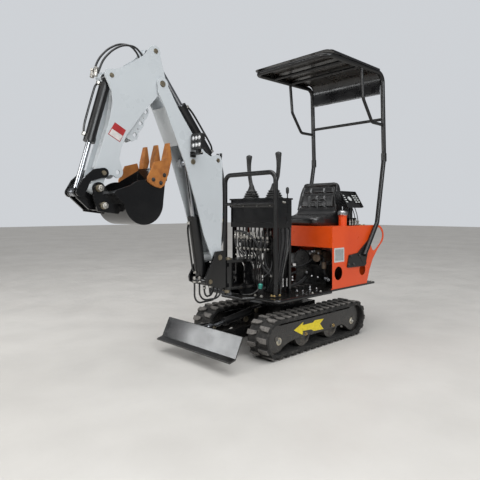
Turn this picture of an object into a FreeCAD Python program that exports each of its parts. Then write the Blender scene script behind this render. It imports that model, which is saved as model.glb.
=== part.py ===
import FreeCAD, Part
import Sketcher
import math
import os

# Mini excavator on rubber tracks with a swinging boom, a canopy and an open engine bay.
# Millimetres. +X is forward, towards the bucket, +Y is the driver's left and +Z is up.
# The origin lies on the floor under the middle of the machine's outline.
# Side profiles are drawn in the XZ plane, measured from the slewing axis and the floor.

Vector = FreeCAD.Vector
doc = FreeCAD.newDocument("MiniExcavator")
sheet = doc.addObject("Spreadsheet::Sheet", "Sizes")

# alias, value
SIZE_ROWS = (
    ("slew_axis_x", -393),
    ("pin_fit", 0.05),
    ("flat_gap", 0.3),
    # undercarriage
    ("hub_spacing", 930),
    ("hub_height", 140),
    ("track_centre_y", 291.5),
    ("belt_width", 180),
    ("belt_thick", 18),
    ("lug_height", 18),
    ("lug_length", 40),
    ("lug_width", 84),
    ("lug_count", 36),
    ("rail_plate_thick", 8),
    ("rail_outer_y", 352),
    ("rail_inner_y", 236),
    ("roller_radius", 86),
    ("roller_front_x", 172),
    ("roller_rear_x", -166),
    ("axle_radius", 16),
    ("chassis_length", 420),
    ("chassis_width", 330),
    ("chassis_bottom", 150),
    ("chassis_top", 292),
    ("slew_radius", 165),
    ("slew_ring_height", 60),
    ("slew_bore", 100),
    # dozer blade
    ("blade_hinge_x", 300),
    ("blade_hinge_height", 175),
    ("blade_width", 769),
    ("blade_plate_thick", 10),
    ("blade_top_x", 808),
    ("blade_top_height", 225),
    ("blade_foot_x", 874),
    ("blade_foot_height", 92),
    ("blade_lip_x", 924),
    ("blade_lip_height", 80),
    ("blade_arm_y", 130),
    ("blade_ram_foot_x", 330),
    ("blade_ram_foot_height", 268),
    ("blade_ram_eye_x", 742),
    ("blade_ram_eye_height", 205),
    # deck and orange body
    ("deck_top", 400),
    ("deck_thick", 14),
    ("deck_front_thick", 26),
    ("deck_joint_x", -150),
    ("deck_corner_radius", 46),
    ("deck_half_width", 372),
    ("deck_front_x", 470),
    ("deck_rear_x", -800),
    ("nose_half_width", 150),
    ("shell_half_width", 356),
    ("shell_front_x", -175),
    ("shell_top", 884),
    ("shell_sheet", 4),
    ("tank_bottom", 718),
    ("tank_rear_x", -700),
    ("filler_x", -420),
    ("filler_y", 285),
    # swing post
    ("swing_axis_x", 590),
    ("swing_pin_radius", 20),
    ("swing_tube_radius", 42),
    ("swing_low_ear", 470),
    ("swing_high_ear", 640),
    ("ear_thick", 20),
    ("bracket_half_width", 92),
    ("bracket_plate_thick", 14),
    ("swing_ram_foot_x", 50),
    ("swing_ram_foot_y", -172),
    ("swing_ram_eye_x", 584),
    ("swing_ram_eye_y", -122),
    ("swing_ram_height", 520),
    ("hose_radius", 6),
    ("hose_bend", 62),
    # boom
    ("boom_half_width", 70),
    ("boom_plate_thick", 8),
    ("boom_foot_x", 741),
    ("boom_foot_height", 690),
    ("boom_tip_x", 1186),
    ("boom_tip_height", 1775),
    ("boom_ram_foot_x", 825),
    ("boom_ram_foot_height", 535),
    ("boom_ram_eye_x", 954),
    ("boom_ram_eye_height", 1319),
    ("lamp_x", 944),
    ("lamp_y", 132),
    ("lamp_height", 1442),
    ("arm_ram_foot_x", 738),
    ("arm_ram_foot_height", 1344),
    # arm
    ("arm_half_width", 57),
    ("arm_plate_thick", 8),
    ("arm_ram_eye_x", 1228),
    ("arm_ram_eye_height", 1968),
    ("bucket_ram_foot_x", 1520),
    ("bucket_ram_foot_height", 1764),
    ("rocker_pin_x", 1576),
    ("rocker_pin_height", 1212),
    ("thumb_pin_x", 1484),
    ("thumb_pin_height", 1222),
    # bucket and its linkage
    ("bucket_pin_x", 1616),
    ("bucket_pin_height", 1125),
    ("link_pin_x", 1590),
    ("link_pin_height", 1031),
    ("knuckle_x", 1711),
    ("knuckle_height", 1104),
    ("bucket_half_width", 155),
    ("bucket_plate", 6),
    ("bucket_bowl_radius", 128),
    ("bucket_bowl_x", 1371),
    ("bucket_bowl_height", 1051),
    ("tooth_spacing", 121),
    ("bucket_ear_y", 76),
    ("rocker_y", 60),
    # canopy
    ("post_half_width", 377),
    ("post_tube_radius", 19),
    ("brace_tube_radius", 13),
    ("roof_front_x", -85),
    ("roof_height", 2192),
    # hoop, console and seat
    ("hoop_x", 372),
    ("hoop_half_width", 262),
    ("hoop_top", 1278),
    ("hoop_tube_radius", 17),
    ("seat_half_width", 218),
    ("console_rear_x", 150),
    ("console_half_width", 238),
    ("console_bottom", 880),
    ("console_top", 1098),
)


class Size:
    """A size of the sheet, or a sum or multiple made from some: its value and its formula."""

    def __init__(self, value, text):
        self.value = float(value)
        self.text = text

    def __add__(self, other):
        other = as_size(other)
        return Size(self.value + other.value, f"({self.text} + {other.text})")

    def __radd__(self, other):
        return as_size(other) + self

    def __sub__(self, other):
        other = as_size(other)
        return Size(self.value - other.value, f"({self.text} - {other.text})")

    def __rsub__(self, other):
        return as_size(other) - self

    def __mul__(self, factor):
        return Size(self.value * factor, f"({self.text} * {factor})")

    __rmul__ = __mul__

    def __truediv__(self, factor):
        return Size(self.value / factor, f"({self.text} / {factor})")

    def __neg__(self):
        return Size(-self.value, f"(0 - {self.text})")

    def __float__(self):
        return self.value


def as_size(item):
    if isinstance(item, Size):
        return item
    number = float(item)
    text = f"{number:.6f}" if number >= 0 else f"(0 - {-number:.6f})"
    return Size(number, text)


class Sizes:
    """The sheet's rows by name."""


s = Sizes()
for row, (alias, value) in enumerate(SIZE_ROWS, start=1):
    sheet.set(f"A{row}", alias)
    sheet.set(f"B{row}", str(value))
    sheet.setAlias(f"B{row}", alias)
    setattr(s, alias, Size(value, f"Sizes.{alias}"))
doc.recompute()

nodes = {}


def bind(item, path, amount):
    """Sets a property, or a part of one, from the sheet."""
    item.setExpression(path, as_size(amount).text)


def place(item, x=0, y=0, z=0, axis=(0, 0, 1), angle=0):
    """Places a finished piece, whose own zero lies x, y, z from the slewing axis at the floor."""
    turn = FreeCAD.Rotation(Vector(*axis), angle)
    spot = Vector(float(s.slew_axis_x) + float(x), float(y), float(z))
    item.Placement = FreeCAD.Placement(spot, turn)
    bind(item, "Placement.Base.x", s.slew_axis_x + x)
    bind(item, "Placement.Base.y", y)
    bind(item, "Placement.Base.z", z)


def new_body(label):
    body = doc.addObject("PartDesign::Body", label)
    body.Label = label
    body.AllowCompound = True
    nodes[label] = body
    return body


def origin_plane(body, role):
    return next(item for item in body.Origin.OriginFeatures if item.Role == role)


def new_sketch(body, role, offset=0):
    """A sketch on one of the body's own planes, moved along its normal by offset.
    XZ_Plane faces -Y, YZ_Plane faces +X and XY_Plane faces +Z."""
    sketch = body.newObject("Sketcher::SketchObject", "Sketch")
    sketch.AttachmentSupport = (origin_plane(body, role), [""])
    sketch.MapMode = "FlatFace"
    sketch.AttachmentOffset = FreeCAD.Placement(Vector(0, 0, float(offset)), FreeCAD.Rotation())
    if isinstance(offset, Size):
        bind(sketch, "AttachmentOffset.Base.z", offset)
    return sketch


def hold(sketch, kind, geometry, point, amount):
    """One coordinate of a sketch's point, held at its distance from the sketch's zero."""
    number = sketch.addConstraint(Sketcher.Constraint(kind, -1, 1, geometry, point, float(amount)))
    if isinstance(amount, Size):
        bind(sketch, f"Constraints[{number}]", amount)


def add_outline(sketch, corners):
    """A closed outline of straight lines through corners, each held by its own sizes."""
    spots = [Vector(float(u), float(v), 0) for u, v in corners]
    first = sketch.GeometryCount
    count = len(spots)
    for index in range(count):
        sketch.addGeometry(Part.LineSegment(spots[index], spots[(index + 1) % count]), False)
    for index in range(count):
        after = first + (index + 1) % count
        sketch.addConstraint(Sketcher.Constraint("Coincident", first + index, 2, after, 1))
    for index, (u, v) in enumerate(corners):
        hold(sketch, "DistanceX", first + index, 1, u)
        hold(sketch, "DistanceY", first + index, 1, v)


def add_circle(sketch, u, v, radius):
    number = sketch.addGeometry(Part.Circle(Vector(float(u), float(v), 0), Vector(0, 0, 1), float(radius)), False)
    hold(sketch, "DistanceX", number, 3, u)
    hold(sketch, "DistanceY", number, 3, v)
    made = sketch.addConstraint(Sketcher.Constraint("Radius", number, float(radius)))
    if isinstance(radius, Size):
        bind(sketch, f"Constraints[{made}]", radius)


def pad(body, sketch, length, middle=False):
    feature = body.newObject("PartDesign::Pad", "Pad")
    feature.Profile = sketch
    feature.Length = float(length)
    feature.Midplane = middle
    if isinstance(length, Size):
        bind(feature, "Length", length)
    return feature


def pocket(body, sketch, length=None, middle=False):
    """A cut of the given length, or through everything both ways."""
    feature = body.newObject("PartDesign::Pocket", "Pocket")
    feature.Profile = sketch
    feature.Midplane = middle or length is None
    if length is None:
        feature.Type = "ThroughAll"
    else:
        feature.Length = float(length)
        if isinstance(length, Size):
            bind(feature, "Length", length)
    return feature


def mirror_sides(body, features):
    """Repeats features on the other side of the machine's middle plane."""
    feature = body.newObject("PartDesign::Mirrored", "Mirrored")
    feature.Originals = features
    feature.MirrorPlane = (origin_plane(body, "XZ_Plane"), [""])
    body.Tip = feature
    return feature


def add_plate(body, inner_y, thick, corners=None, rounds=()):
    """A plate across Y from inner_y outwards: an outline, and discs round its pins."""
    features = []
    outer = as_size(inner_y) + thick
    if corners:
        sketch = new_sketch(body, "XZ_Plane", -outer)
        add_outline(sketch, corners)
        features.append(pad(body, sketch, thick))
    for u, v, radius in rounds:
        sketch = new_sketch(body, "XZ_Plane", -outer)
        add_circle(sketch, u, v, radius)
        features.append(pad(body, sketch, thick))
    return features


def add_box_section(body, half_width, corners, rounds=()):
    """A solid of an outline as wide as the piece, both sides of the middle plane."""
    sketch = new_sketch(body, "XZ_Plane")
    add_outline(sketch, corners)
    pad(body, sketch, half_width * 2, middle=True)
    for u, v, radius in rounds:
        sketch = new_sketch(body, "XZ_Plane")
        add_circle(sketch, u, v, radius)
        pad(body, sketch, half_width * 2, middle=True)


def cut_bores(body, bores):
    """Bores right across Y at u, v of the side profile."""
    sketch = new_sketch(body, "XZ_Plane")
    for u, v, radius in bores:
        add_circle(sketch, u, v, radius)
    return pocket(body, sketch)


def inset(corners, depth):
    """The outline moved inwards by depth on each side; corners run round it clockwise or not."""
    spots = [Vector(float(u), float(v), 0) for u, v in corners]
    count = len(spots)
    area = sum(spots[i - 1].x * spots[i].y - spots[i].x * spots[i - 1].y for i in range(count))
    side = 1 if area > 0 else -1
    made = []
    for index in range(count):
        back = (spots[index] - spots[index - 1]).normalize()
        ahead = (spots[(index + 1) % count] - spots[index]).normalize()
        normal = Vector(-back.y - ahead.y, back.x + ahead.x, 0) * side
        normal.normalize()
        square = Vector(-back.y, back.x, 0) * side
        reach = float(depth) / max(normal.dot(square), 0.3)
        made.append((corners[index][0] + normal.x * reach, corners[index][1] + normal.y * reach))
    return made


def shape_node(label, shape):
    """A node whose shape is worked out here from the sheet's sizes."""
    item = doc.addObject("Part::Feature", label)
    item.Label = label
    item.Shape = shape
    place(item)
    nodes[label] = item
    return item


def fuse_all(shapes):
    return shapes[0].multiFuse(shapes[1:]).removeSplitter() if len(shapes) > 1 else shapes[0]


# how far a large pin's shoulder lies inside its bore, where only its smaller end stands out
pin_set_back = 3


def pin_shape(x, z, half_length, radius, head_radius=0, head=6):
    """A pin across Y about the middle plane, with a round head on each end if it has them."""
    pin = Part.makeCylinder(radius, 2 * half_length, Vector(x, -half_length, z), Vector(0, 1, 0))
    if not head_radius:
        return pin
    ends = [
        Part.makeCylinder(head_radius, head, Vector(x, start, z), Vector(0, 1, 0))
        for start in (-half_length - head, half_length)
    ]
    return fuse_all([pin] + ends)


def tube_path(points, radius_factor=0.45, bend=None):
    """Straight runs through points, joined by tangent arcs, and the arcs' radii."""
    spots = [Vector(*point) for point in points]
    edges = []
    radii = []
    start = spots[0]
    for index in range(1, len(spots) - 1):
        before = spots[index - 1] - spots[index]
        after = spots[index + 1] - spots[index]
        turn = math.pi - before.getAngle(after)
        shorter = min(before.Length, after.Length)
        radius = bend if bend else radius_factor * shorter / math.tan(turn / 2)
        reach = radius * math.tan(turn / 2)
        leave = spots[index] + before.normalize() * reach
        join = spots[index] + after.normalize() * reach
        inward = (before + after).normalize()
        centre = spots[index] + inward * (radius / math.cos(turn / 2))
        middle = centre - inward * radius
        edges.append(Part.LineSegment(start, leave).toShape())
        edges.append(Part.Arc(leave, middle, join).toShape())
        radii.append(radius)
        start = join
    edges.append(Part.LineSegment(start, spots[-1]).toShape())
    return Part.Wire(edges), radii


def tube_shape(points, radius, bend=None, bore=0):
    """A round tube or bar along straight runs and tangent arcs."""
    path, radii = tube_path(points, bend=bend)
    heading = (Vector(*points[1]) - Vector(*points[0])).normalize()
    ring = Part.Wire([Part.Circle(Vector(*points[0]), heading, float(radius)).toShape()])
    outer = path.makePipeShell([ring], True, True)
    if not bore:
        return outer
    hollow = Part.Wire([Part.Circle(Vector(*points[0]), heading, float(bore)).toShape()])
    return outer.cut(path.makePipeShell([hollow], True, True))


def box(x, y, z):
    """A block between the two values of each of x, y and z."""
    return Part.makeBox(x[1] - x[0], y[1] - y[0], z[1] - z[0], Vector(x[0], y[0], z[0]))


def profile(points, y0, y1, holes=()):
    """A plate of a side profile from y0 to y1, with round holes given by x, z and radius."""
    spots = [Vector(float(x), y0, float(z)) for x, z in points]
    face = Part.Face(Part.makePolygon(spots + [spots[0]]))
    plate = face.extrude(Vector(0, y1 - y0, 0))
    for x, z, radius in holes:
        plate = plate.cut(Part.makeCylinder(radius, y1 - y0 + 2, Vector(x, y0 - 1, z), Vector(0, 1, 0)))
    return plate


def plan_plate(points, low, high):
    """A level plate of a plan outline given by x and y."""
    spots = [Vector(float(x), float(y), low) for x, y in points]
    return Part.Face(Part.makePolygon(spots + [spots[0]])).extrude(Vector(0, 0, high - low))


def cross_profile(points, x0, x1):
    """A solid of an outline across the machine, given by y and height, from x0 to x1."""
    spots = [Vector(x0, float(y), float(z)) for y, z in points]
    return Part.Face(Part.makePolygon(spots + [spots[0]])).extrude(Vector(x1 - x0, 0, 0))


def upright(points, x, y, z):
    """A turned piece with an upright axis at x and y: points give its radius and its height above z."""
    spots = [Vector(x + radius, y, z + height) for radius, height in points]
    face = Part.Face(Part.makePolygon(spots + [spots[0]]))
    return face.revolve(Vector(x, y, z), Vector(0, 0, 1), 360)


def edges_along(shape, direction, wanted=None):
    """The straight edges of a shape that run along a direction, or those of them whose middle is wanted."""
    found = []
    for edge in shape.Edges:
        if edge.Curve.TypeId != "Part::GeomLine":
            continue
        if abs(edge.Curve.Direction.dot(Vector(*direction))) < 0.999:
            continue
        if wanted is None or wanted(edge.CenterOfMass):
            found.append(edge)
    return found


def round_off(shape, radius, direction, wanted=None):
    return shape.makeFillet(radius, edges_along(shape, direction, wanted))


# Tracks

lug_radius = float(s.hub_height)
belt_radius = lug_radius - float(s.lug_height)
belt_inner = belt_radius - float(s.belt_thick)
half_hubs = float(s.hub_spacing) / 2
loop_length = 2 * float(s.hub_spacing) + 2 * math.pi * belt_radius


def loop_spot(distance):
    """The point of the belt's outer face a distance along it, and its outward direction."""
    distance %= loop_length
    straight = float(s.hub_spacing)
    bend = math.pi * belt_radius
    if distance < straight:
        return Vector(-half_hubs + distance, 0, belt_radius), Vector(0, 0, 1)
    distance -= straight
    if distance < bend:
        angle = math.pi / 2 - distance / belt_radius
        out = Vector(math.cos(angle), 0, math.sin(angle))
        return Vector(half_hubs, 0, 0) + out * belt_radius, out
    distance -= bend
    if distance < straight:
        return Vector(half_hubs - distance, 0, -belt_radius), Vector(0, 0, -1)
    distance -= straight
    angle = -math.pi / 2 - distance / belt_radius
    out = Vector(math.cos(angle), 0, math.sin(angle))
    return Vector(-half_hubs, 0, 0) + out * belt_radius, out


def stadium(radius, y0, y1):
    """A solid between y0 and y1 whose outline runs round both hubs at a radius."""
    ends = [
        Part.makeCylinder(radius, y1 - y0, Vector(x, y0, 0), Vector(0, 1, 0))
        for x in (-half_hubs, half_hubs)
    ]
    return fuse_all(ends + [box((-half_hubs, half_hubs), (y0, y1), (-radius, radius))])


# across the lug from the belt's edge to its inner end, and along the belt, as shares of its width and half length
LUG_FOOT = ((0, -1), (0, 1), (0.6, 1), (1, 0.1), (1, -1))


def track_lug(distance, side):
    """One lug: wide at the belt's edge, cut slanting at its inner end, its walls drawn in towards the crown."""
    spot, out = loop_spot(distance)
    along = Vector(0, 1, 0).cross(out)
    inward = Vector(0, -side, 0)
    edge = Vector(0, side * float(s.belt_width) / 2, 0)
    width = float(s.lug_width)
    foot = float(s.lug_length) / 2
    rims = []
    for level, long_share, short_share in ((-float(s.belt_thick) * 0.35, 1, 1), (float(s.lug_height), 0.8, 0.94)):
        middle = spot + edge + out * level + inward * (width * (1 - short_share) / 2)
        corners = [middle + inward * (across * width * short_share) + along * (share * foot * long_share)
                   for across, share in LUG_FOOT]
        rims.append(Part.makePolygon(corners + [corners[0]]))
    return Part.makeLoft(rims, True, True)


def make_track(label, side):
    half = float(s.belt_width) / 2
    belt = stadium(belt_radius, -half, half).cut(stadium(belt_inner, -half - 1, half + 1))
    count = int(float(s.lug_count))
    pitch = loop_length / count
    lugs = []
    for number in range(count):
        lugs.append(track_lug((number + 0.25) * pitch, 1))
        lugs.append(track_lug((number + 0.75) * pitch, -1))
    track = belt.multiFuse(lugs)
    item = shape_node(label, track)
    place(item, 0, s.track_centre_y * side, s.hub_height)


make_track("track_left", 1)
make_track("track_right", -1)

# Track frame: two plates a side, the chassis box and the cross beams

rail_outer = float(s.rail_outer_y)
rail_inner = float(s.rail_inner_y)
rail_thick = float(s.rail_plate_thick)
hub_z = float(s.hub_height)
roller_z = hub_z - belt_inner + float(s.roller_radius) + 1
wheel_radius = belt_inner - 1
axle_radius = float(s.axle_radius)
roller_spots = (float(s.roller_front_x), float(s.roller_rear_x))


# x and height along a side plate's lower edge, from the front disc back to the rear lobe
RAIL_EDGE = (
    (400, 74), (360, 87), (305, 100), (240, 105), (0, 102), (-150, 103), (-225, 105), (-270, 111), (-310, 110),
    (-350, 94), (-385, 68), (-405, 58))
RAIL_TOP = 224
FRONT_DISC = 92
REAR_LOBE = 101


def rail_plate(y0):
    """A track frame's plate: round at the hubs, its lower edge raised above the rollers' lower halves."""
    lower = Part.BSplineCurve()
    lower.interpolate([Vector(x, y0, z) for x, z in RAIL_EDGE])
    corners = [Vector(RAIL_EDGE[-1][0], y0, RAIL_EDGE[-1][1]), Vector(-half_hubs, y0, hub_z),
               Vector(-half_hubs, y0, RAIL_TOP), Vector(half_hubs, y0, RAIL_TOP), Vector(half_hubs, y0, hub_z),
               Vector(RAIL_EDGE[0][0], y0, RAIL_EDGE[0][1])]
    edges = [lower.toShape()] + [Part.LineSegment(corners[k], corners[k + 1]).toShape() for k in range(5)]
    web = Part.Face(Part.Wire(Part.sortEdges(edges)[0])).extrude(Vector(0, rail_thick, 0))
    plate = fuse_all([
        web,
        Part.makeCylinder(FRONT_DISC, rail_thick, Vector(half_hubs, y0, hub_z), Vector(0, 1, 0)),
        Part.makeCylinder(REAR_LOBE, rail_thick, Vector(-half_hubs, y0, hub_z), Vector(0, 1, 0)),
    ])
    axles = [(x, hub_z, axle_radius) for x in (-half_hubs, half_hubs)]
    axles += [(x, roller_z, axle_radius * 0.75) for x in roller_spots]
    for x, z, radius in axles:
        plate = plate.cut(Part.makeCylinder(radius, rail_thick + 2, Vector(x, y0 - 1, z), Vector(0, 1, 0)))
    return plate


def make_track_frame():
    rail_starts = (rail_outer - rail_thick, rail_inner, -rail_outer, -rail_inner - rail_thick)
    plates = [rail_plate(y0) for y0 in rail_starts]
    half_long = float(s.chassis_length) / 2
    half_wide = float(s.chassis_width) / 2
    low = float(s.chassis_bottom)
    high = float(s.chassis_top)
    chassis = box((-half_long, half_long), (-half_wide, half_wide), (low, high))
    chassis = chassis.cut(box((-half_long + 8, half_long - 8), (-half_wide + 8, half_wide - 8), (low + 8, high - 8)))
    beams = [
        box((x - 35, x + 35), (-rail_inner - 1, rail_inner + 1), (hub_z + 15, hub_z + 75))
        for x in (-150, 150)
    ]
    spacers = [
        box((x - 30, x + 30), (side * (rail_inner + rail_outer) / 2 - (rail_outer - rail_inner) / 2 + 1,
                               side * (rail_inner + rail_outer) / 2 + (rail_outer - rail_inner) / 2 - 1),
            (hub_z + 20, hub_z + 70))
        for x in (-280, 0, 280)
        for side in (-1, 1)
    ]
    hinge_x = float(s.blade_hinge_x)
    hinge_z = float(s.blade_hinge_height)
    arm_y = float(s.blade_arm_y)
    ears = []
    for side in (-1, 1):
        for gap in (-16, 16):
            y = side * arm_y + gap
            ears.append(profile(
                ((half_long - 20, hinge_z - 25), (hinge_x + 18, hinge_z - 22), (hinge_x + 18, hinge_z + 22),
                 (half_long - 20, hinge_z + 60)),
                y - 5, y + 5, [(hinge_x, hinge_z, axle_radius)]))
    foot_x = float(s.blade_ram_foot_x)
    foot_z = float(s.blade_ram_foot_height)
    for gap in (-26, 26):
        ears.append(profile(
            ((half_long - 20, foot_z - 60), (foot_x, foot_z - 22), (foot_x + 20, foot_z - 8), (foot_x + 20, foot_z + 14),
             (half_long - 20, foot_z + 20)),
            gap - 6, gap + 6, [(foot_x, foot_z, 12)]))
    ring = Part.makeCylinder(float(s.slew_radius), float(s.slew_ring_height), Vector(0, 0, high - 1))
    ring = ring.cut(Part.makeCylinder(float(s.slew_bore), float(s.slew_ring_height) + 2, Vector(0, 0, high - 1)))
    return fuse_all(plates + [chassis] + beams + spacers + ears + [ring])


shape_node("track_frame", make_track_frame())


frame_pins = [
    pin_shape(float(s.blade_hinge_x), float(s.blade_hinge_height), 21, axle_radius, 22).translated(Vector(0, y, 0))
    for y in (-float(s.blade_arm_y), float(s.blade_arm_y))
]
frame_pins.append(pin_shape(float(s.blade_ram_foot_x), float(s.blade_ram_foot_height), 32, 12, 18))
shape_node("frame_pins", Part.makeCompound(frame_pins))


def wheel_with_axle(side, x, z, radius, axle):
    """A turning disc between a side's two plates, dished on both faces, on its axle."""
    middle = side * (rail_outer + rail_inner) / 2
    half = (rail_outer - rail_inner) / 2 - rail_thick - 3
    disc = Part.makeCylinder(radius, 2 * half, Vector(x, middle - half, z), Vector(0, 1, 0))
    for start in (middle - half, middle + half - 12):
        dish = Part.makeCylinder(radius * 0.82, 12, Vector(x, start, z), Vector(0, 1, 0))
        disc = disc.cut(dish.cut(Part.makeCylinder(radius * 0.4, 12, Vector(x, start, z), Vector(0, 1, 0))))
    reach = (rail_outer - rail_inner) / 2 + 4
    shaft = Part.makeCylinder(axle, 2 * reach, Vector(x, middle - reach, z), Vector(0, 1, 0))
    return disc.fuse(shaft)


wheels = [wheel_with_axle(side, x, hub_z, wheel_radius, axle_radius)
          for side in (-1, 1) for x in (-half_hubs, half_hubs)]
wheels += [wheel_with_axle(side, x, roller_z, float(s.roller_radius), axle_radius * 0.75)
           for side in (-1, 1) for x in roller_spots]
shape_node("track_wheels", Part.makeCompound(wheels))
# Dozer blade


def make_blade():
    half = float(s.blade_width) / 2
    thick = float(s.blade_plate_thick)
    top = (float(s.blade_top_x), float(s.blade_top_height))
    foot = (float(s.blade_foot_x), float(s.blade_foot_height))
    lip = (float(s.blade_lip_x), float(s.blade_lip_height))
    board = profile((top, foot, lip, (lip[0], lip[1] + thick), (foot[0] + 4, foot[1] + thick), (top[0] + thick, top[1])),
                    -half, half)
    hinge_x = float(s.blade_hinge_x)
    hinge_z = float(s.blade_hinge_height)
    pieces = [board]
    for side in (-1, 1):
        y = side * float(s.blade_arm_y)
        arm = profile(
            ((hinge_x - 20, hinge_z - 20), (hinge_x + 60, hinge_z - 24), (float(s.blade_foot_x) - 60, 120),
             (float(s.blade_foot_x) - 18, 120), (float(s.blade_top_x) + 10, 205), (hinge_x + 60, hinge_z + 24),
             (hinge_x - 20, hinge_z + 20)),
            y - 9, y + 9, [(hinge_x, hinge_z, axle_radius + float(s.pin_fit))])
        pieces.append(arm)
    eye_x = float(s.blade_ram_eye_x)
    eye_z = float(s.blade_ram_eye_height)
    for gap in (-26, 26):
        pieces.append(profile(
            ((eye_x - 18, eye_z - 18), (eye_x + 10, eye_z - 40), (float(s.blade_foot_x) - 22, 125), (top[0] + 6, 218),
             (eye_x - 18, eye_z + 18)),
            gap - 6, gap + 6, [(eye_x, eye_z, 12)]))
    return fuse_all(pieces)


shape_node("dozer_blade", make_blade())
shape_node("blade_pins", Part.makeCompound([
    Part.makeCylinder(12, 18, Vector(float(s.blade_ram_eye_x), start, float(s.blade_ram_eye_height)), Vector(0, 1, 0))
    for start in (20, -38)]))

# Rams: each is drawn along its own X axis from the foot pin and laid in its place


def make_barrel(label, length, outer, bore, rod, pin, eye_width, neck):
    """The fixed half of a ram: foot eye, neck, barrel and gland."""
    body = new_body(label)
    half = new_sketch(body, "XY_Plane")
    shoulder = pin + neck
    base = shoulder + 12
    add_outline(half, (
        (pin * 0.5, 0), (pin * 0.5, pin + 6), (shoulder - 8, pin + 6), (shoulder, outer), (length - 26, outer),
        (length - 26, outer + 3), (length, outer + 3), (length, rod + s.pin_fit), (length - 26, rod + s.pin_fit),
        (length - 26, bore), (base, bore), (base, 0)))
    turned = body.newObject("PartDesign::Revolution", "Revolution")
    turned.Profile = half
    turned.ReferenceAxis = (half, ["H_Axis"])
    turned.Angle = 360
    eye = new_sketch(body, "XZ_Plane")
    add_circle(eye, 0, 0, pin + 11)
    pad(body, eye, eye_width, middle=True)
    hole = new_sketch(body, "XZ_Plane")
    add_circle(hole, 0, 0, pin + s.pin_fit)
    pocket(body, hole)
    return body


def make_rod(label, length, rod, piston, start, pin, eye_width):
    """The sliding half of a ram: the rod, its piston and its eye, drawn from the foot pin too."""
    body = new_body(label)
    half = new_sketch(body, "XY_Plane")
    add_outline(half, (
        (start, 0), (start, piston), (start + 22, piston), (start + 22, rod), (length - pin * 0.5, rod),
        (length - pin * 0.5, 0)))
    turned = body.newObject("PartDesign::Revolution", "Revolution")
    turned.Profile = half
    turned.ReferenceAxis = (half, ["H_Axis"])
    turned.Angle = 360
    eye = new_sketch(body, "XZ_Plane")
    add_circle(eye, length, 0, pin + 11)
    pad(body, eye, eye_width, middle=True)
    hole = new_sketch(body, "XZ_Plane")
    add_circle(hole, length, 0, pin + s.pin_fit)
    pocket(body, hole)
    return body


# name, foot x, foot height, eye x, eye height, barrel length, barrel radius, rod radius, pin radius,
# eye width, neck from the pin to the barrel, piston's distance from the foot pin
RAMS = (
    ("boom_ram", s.boom_ram_foot_x, s.boom_ram_foot_height, s.boom_ram_eye_x, s.boom_ram_eye_height,
     440, 37, 19, 17, 56, 24, 380),
    ("arm_ram", s.arm_ram_foot_x, s.arm_ram_foot_height, s.arm_ram_eye_x, s.arm_ram_eye_height,
     430, 34, 17, 15, 50, 38, 372),
    ("bucket_ram", s.bucket_ram_foot_x, s.bucket_ram_foot_height, s.knuckle_x, s.knuckle_height,
     395, 30, 15, 14, 46, 30, 335),
    ("blade_ram", s.blade_ram_foot_x, s.blade_ram_foot_height, s.blade_ram_eye_x, s.blade_ram_eye_height,
     300, 26, 13, 12, 38, 24, 200),
)

for name, foot_x, foot_z, eye_x, eye_z, barrel_length, outer, rod, pin, eye_width, neck, piston in RAMS:
    run_x = float(eye_x) - float(foot_x)
    run_z = float(eye_z) - float(foot_z)
    length = math.hypot(run_x, run_z)
    tilt = -math.degrees(math.atan2(run_z, run_x))
    barrel = make_barrel(name + "_barrel", as_size(barrel_length), as_size(outer), outer - 6, as_size(rod),
                         as_size(pin), as_size(eye_width), neck)
    place(barrel, foot_x, 0, foot_z, (0, 1, 0), tilt)
    rod_body = make_rod(name + "_rod", as_size(length), as_size(rod), outer - 6.3, piston, as_size(pin),
                        as_size(eye_width))
    place(rod_body, foot_x, 0, foot_z, (0, 1, 0), tilt)

# The swing ram lies flat on the right of the deck's nose
run_x = float(s.swing_ram_eye_x) - float(s.swing_ram_foot_x)
run_y = float(s.swing_ram_eye_y) - float(s.swing_ram_foot_y)
swing_length = math.hypot(run_x, run_y)
swing_turn = math.degrees(math.atan2(run_y, run_x))


def lay_flat(item):
    """Turns a ram's pins upright and its run along the deck."""
    turn = FreeCAD.Rotation(Vector(0, 0, 1), swing_turn).multiply(FreeCAD.Rotation(Vector(1, 0, 0), 90))
    item.Placement = FreeCAD.Placement(
        Vector(float(s.slew_axis_x + s.swing_ram_foot_x), float(s.swing_ram_foot_y), float(s.swing_ram_height)), turn)


barrel = make_barrel("swing_ram_barrel", as_size(360), as_size(26), 20, as_size(12), as_size(11), as_size(36), 24)
lay_flat(barrel)
rod_body = make_rod("swing_ram_rod", as_size(swing_length), as_size(12), 19.7, 140, as_size(11), as_size(36))
lay_flat(rod_body)

# Deck, orange body and what stands on the deck

deck_low = float(s.deck_top) - float(s.deck_thick)
deck_top = float(s.deck_top)


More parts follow.
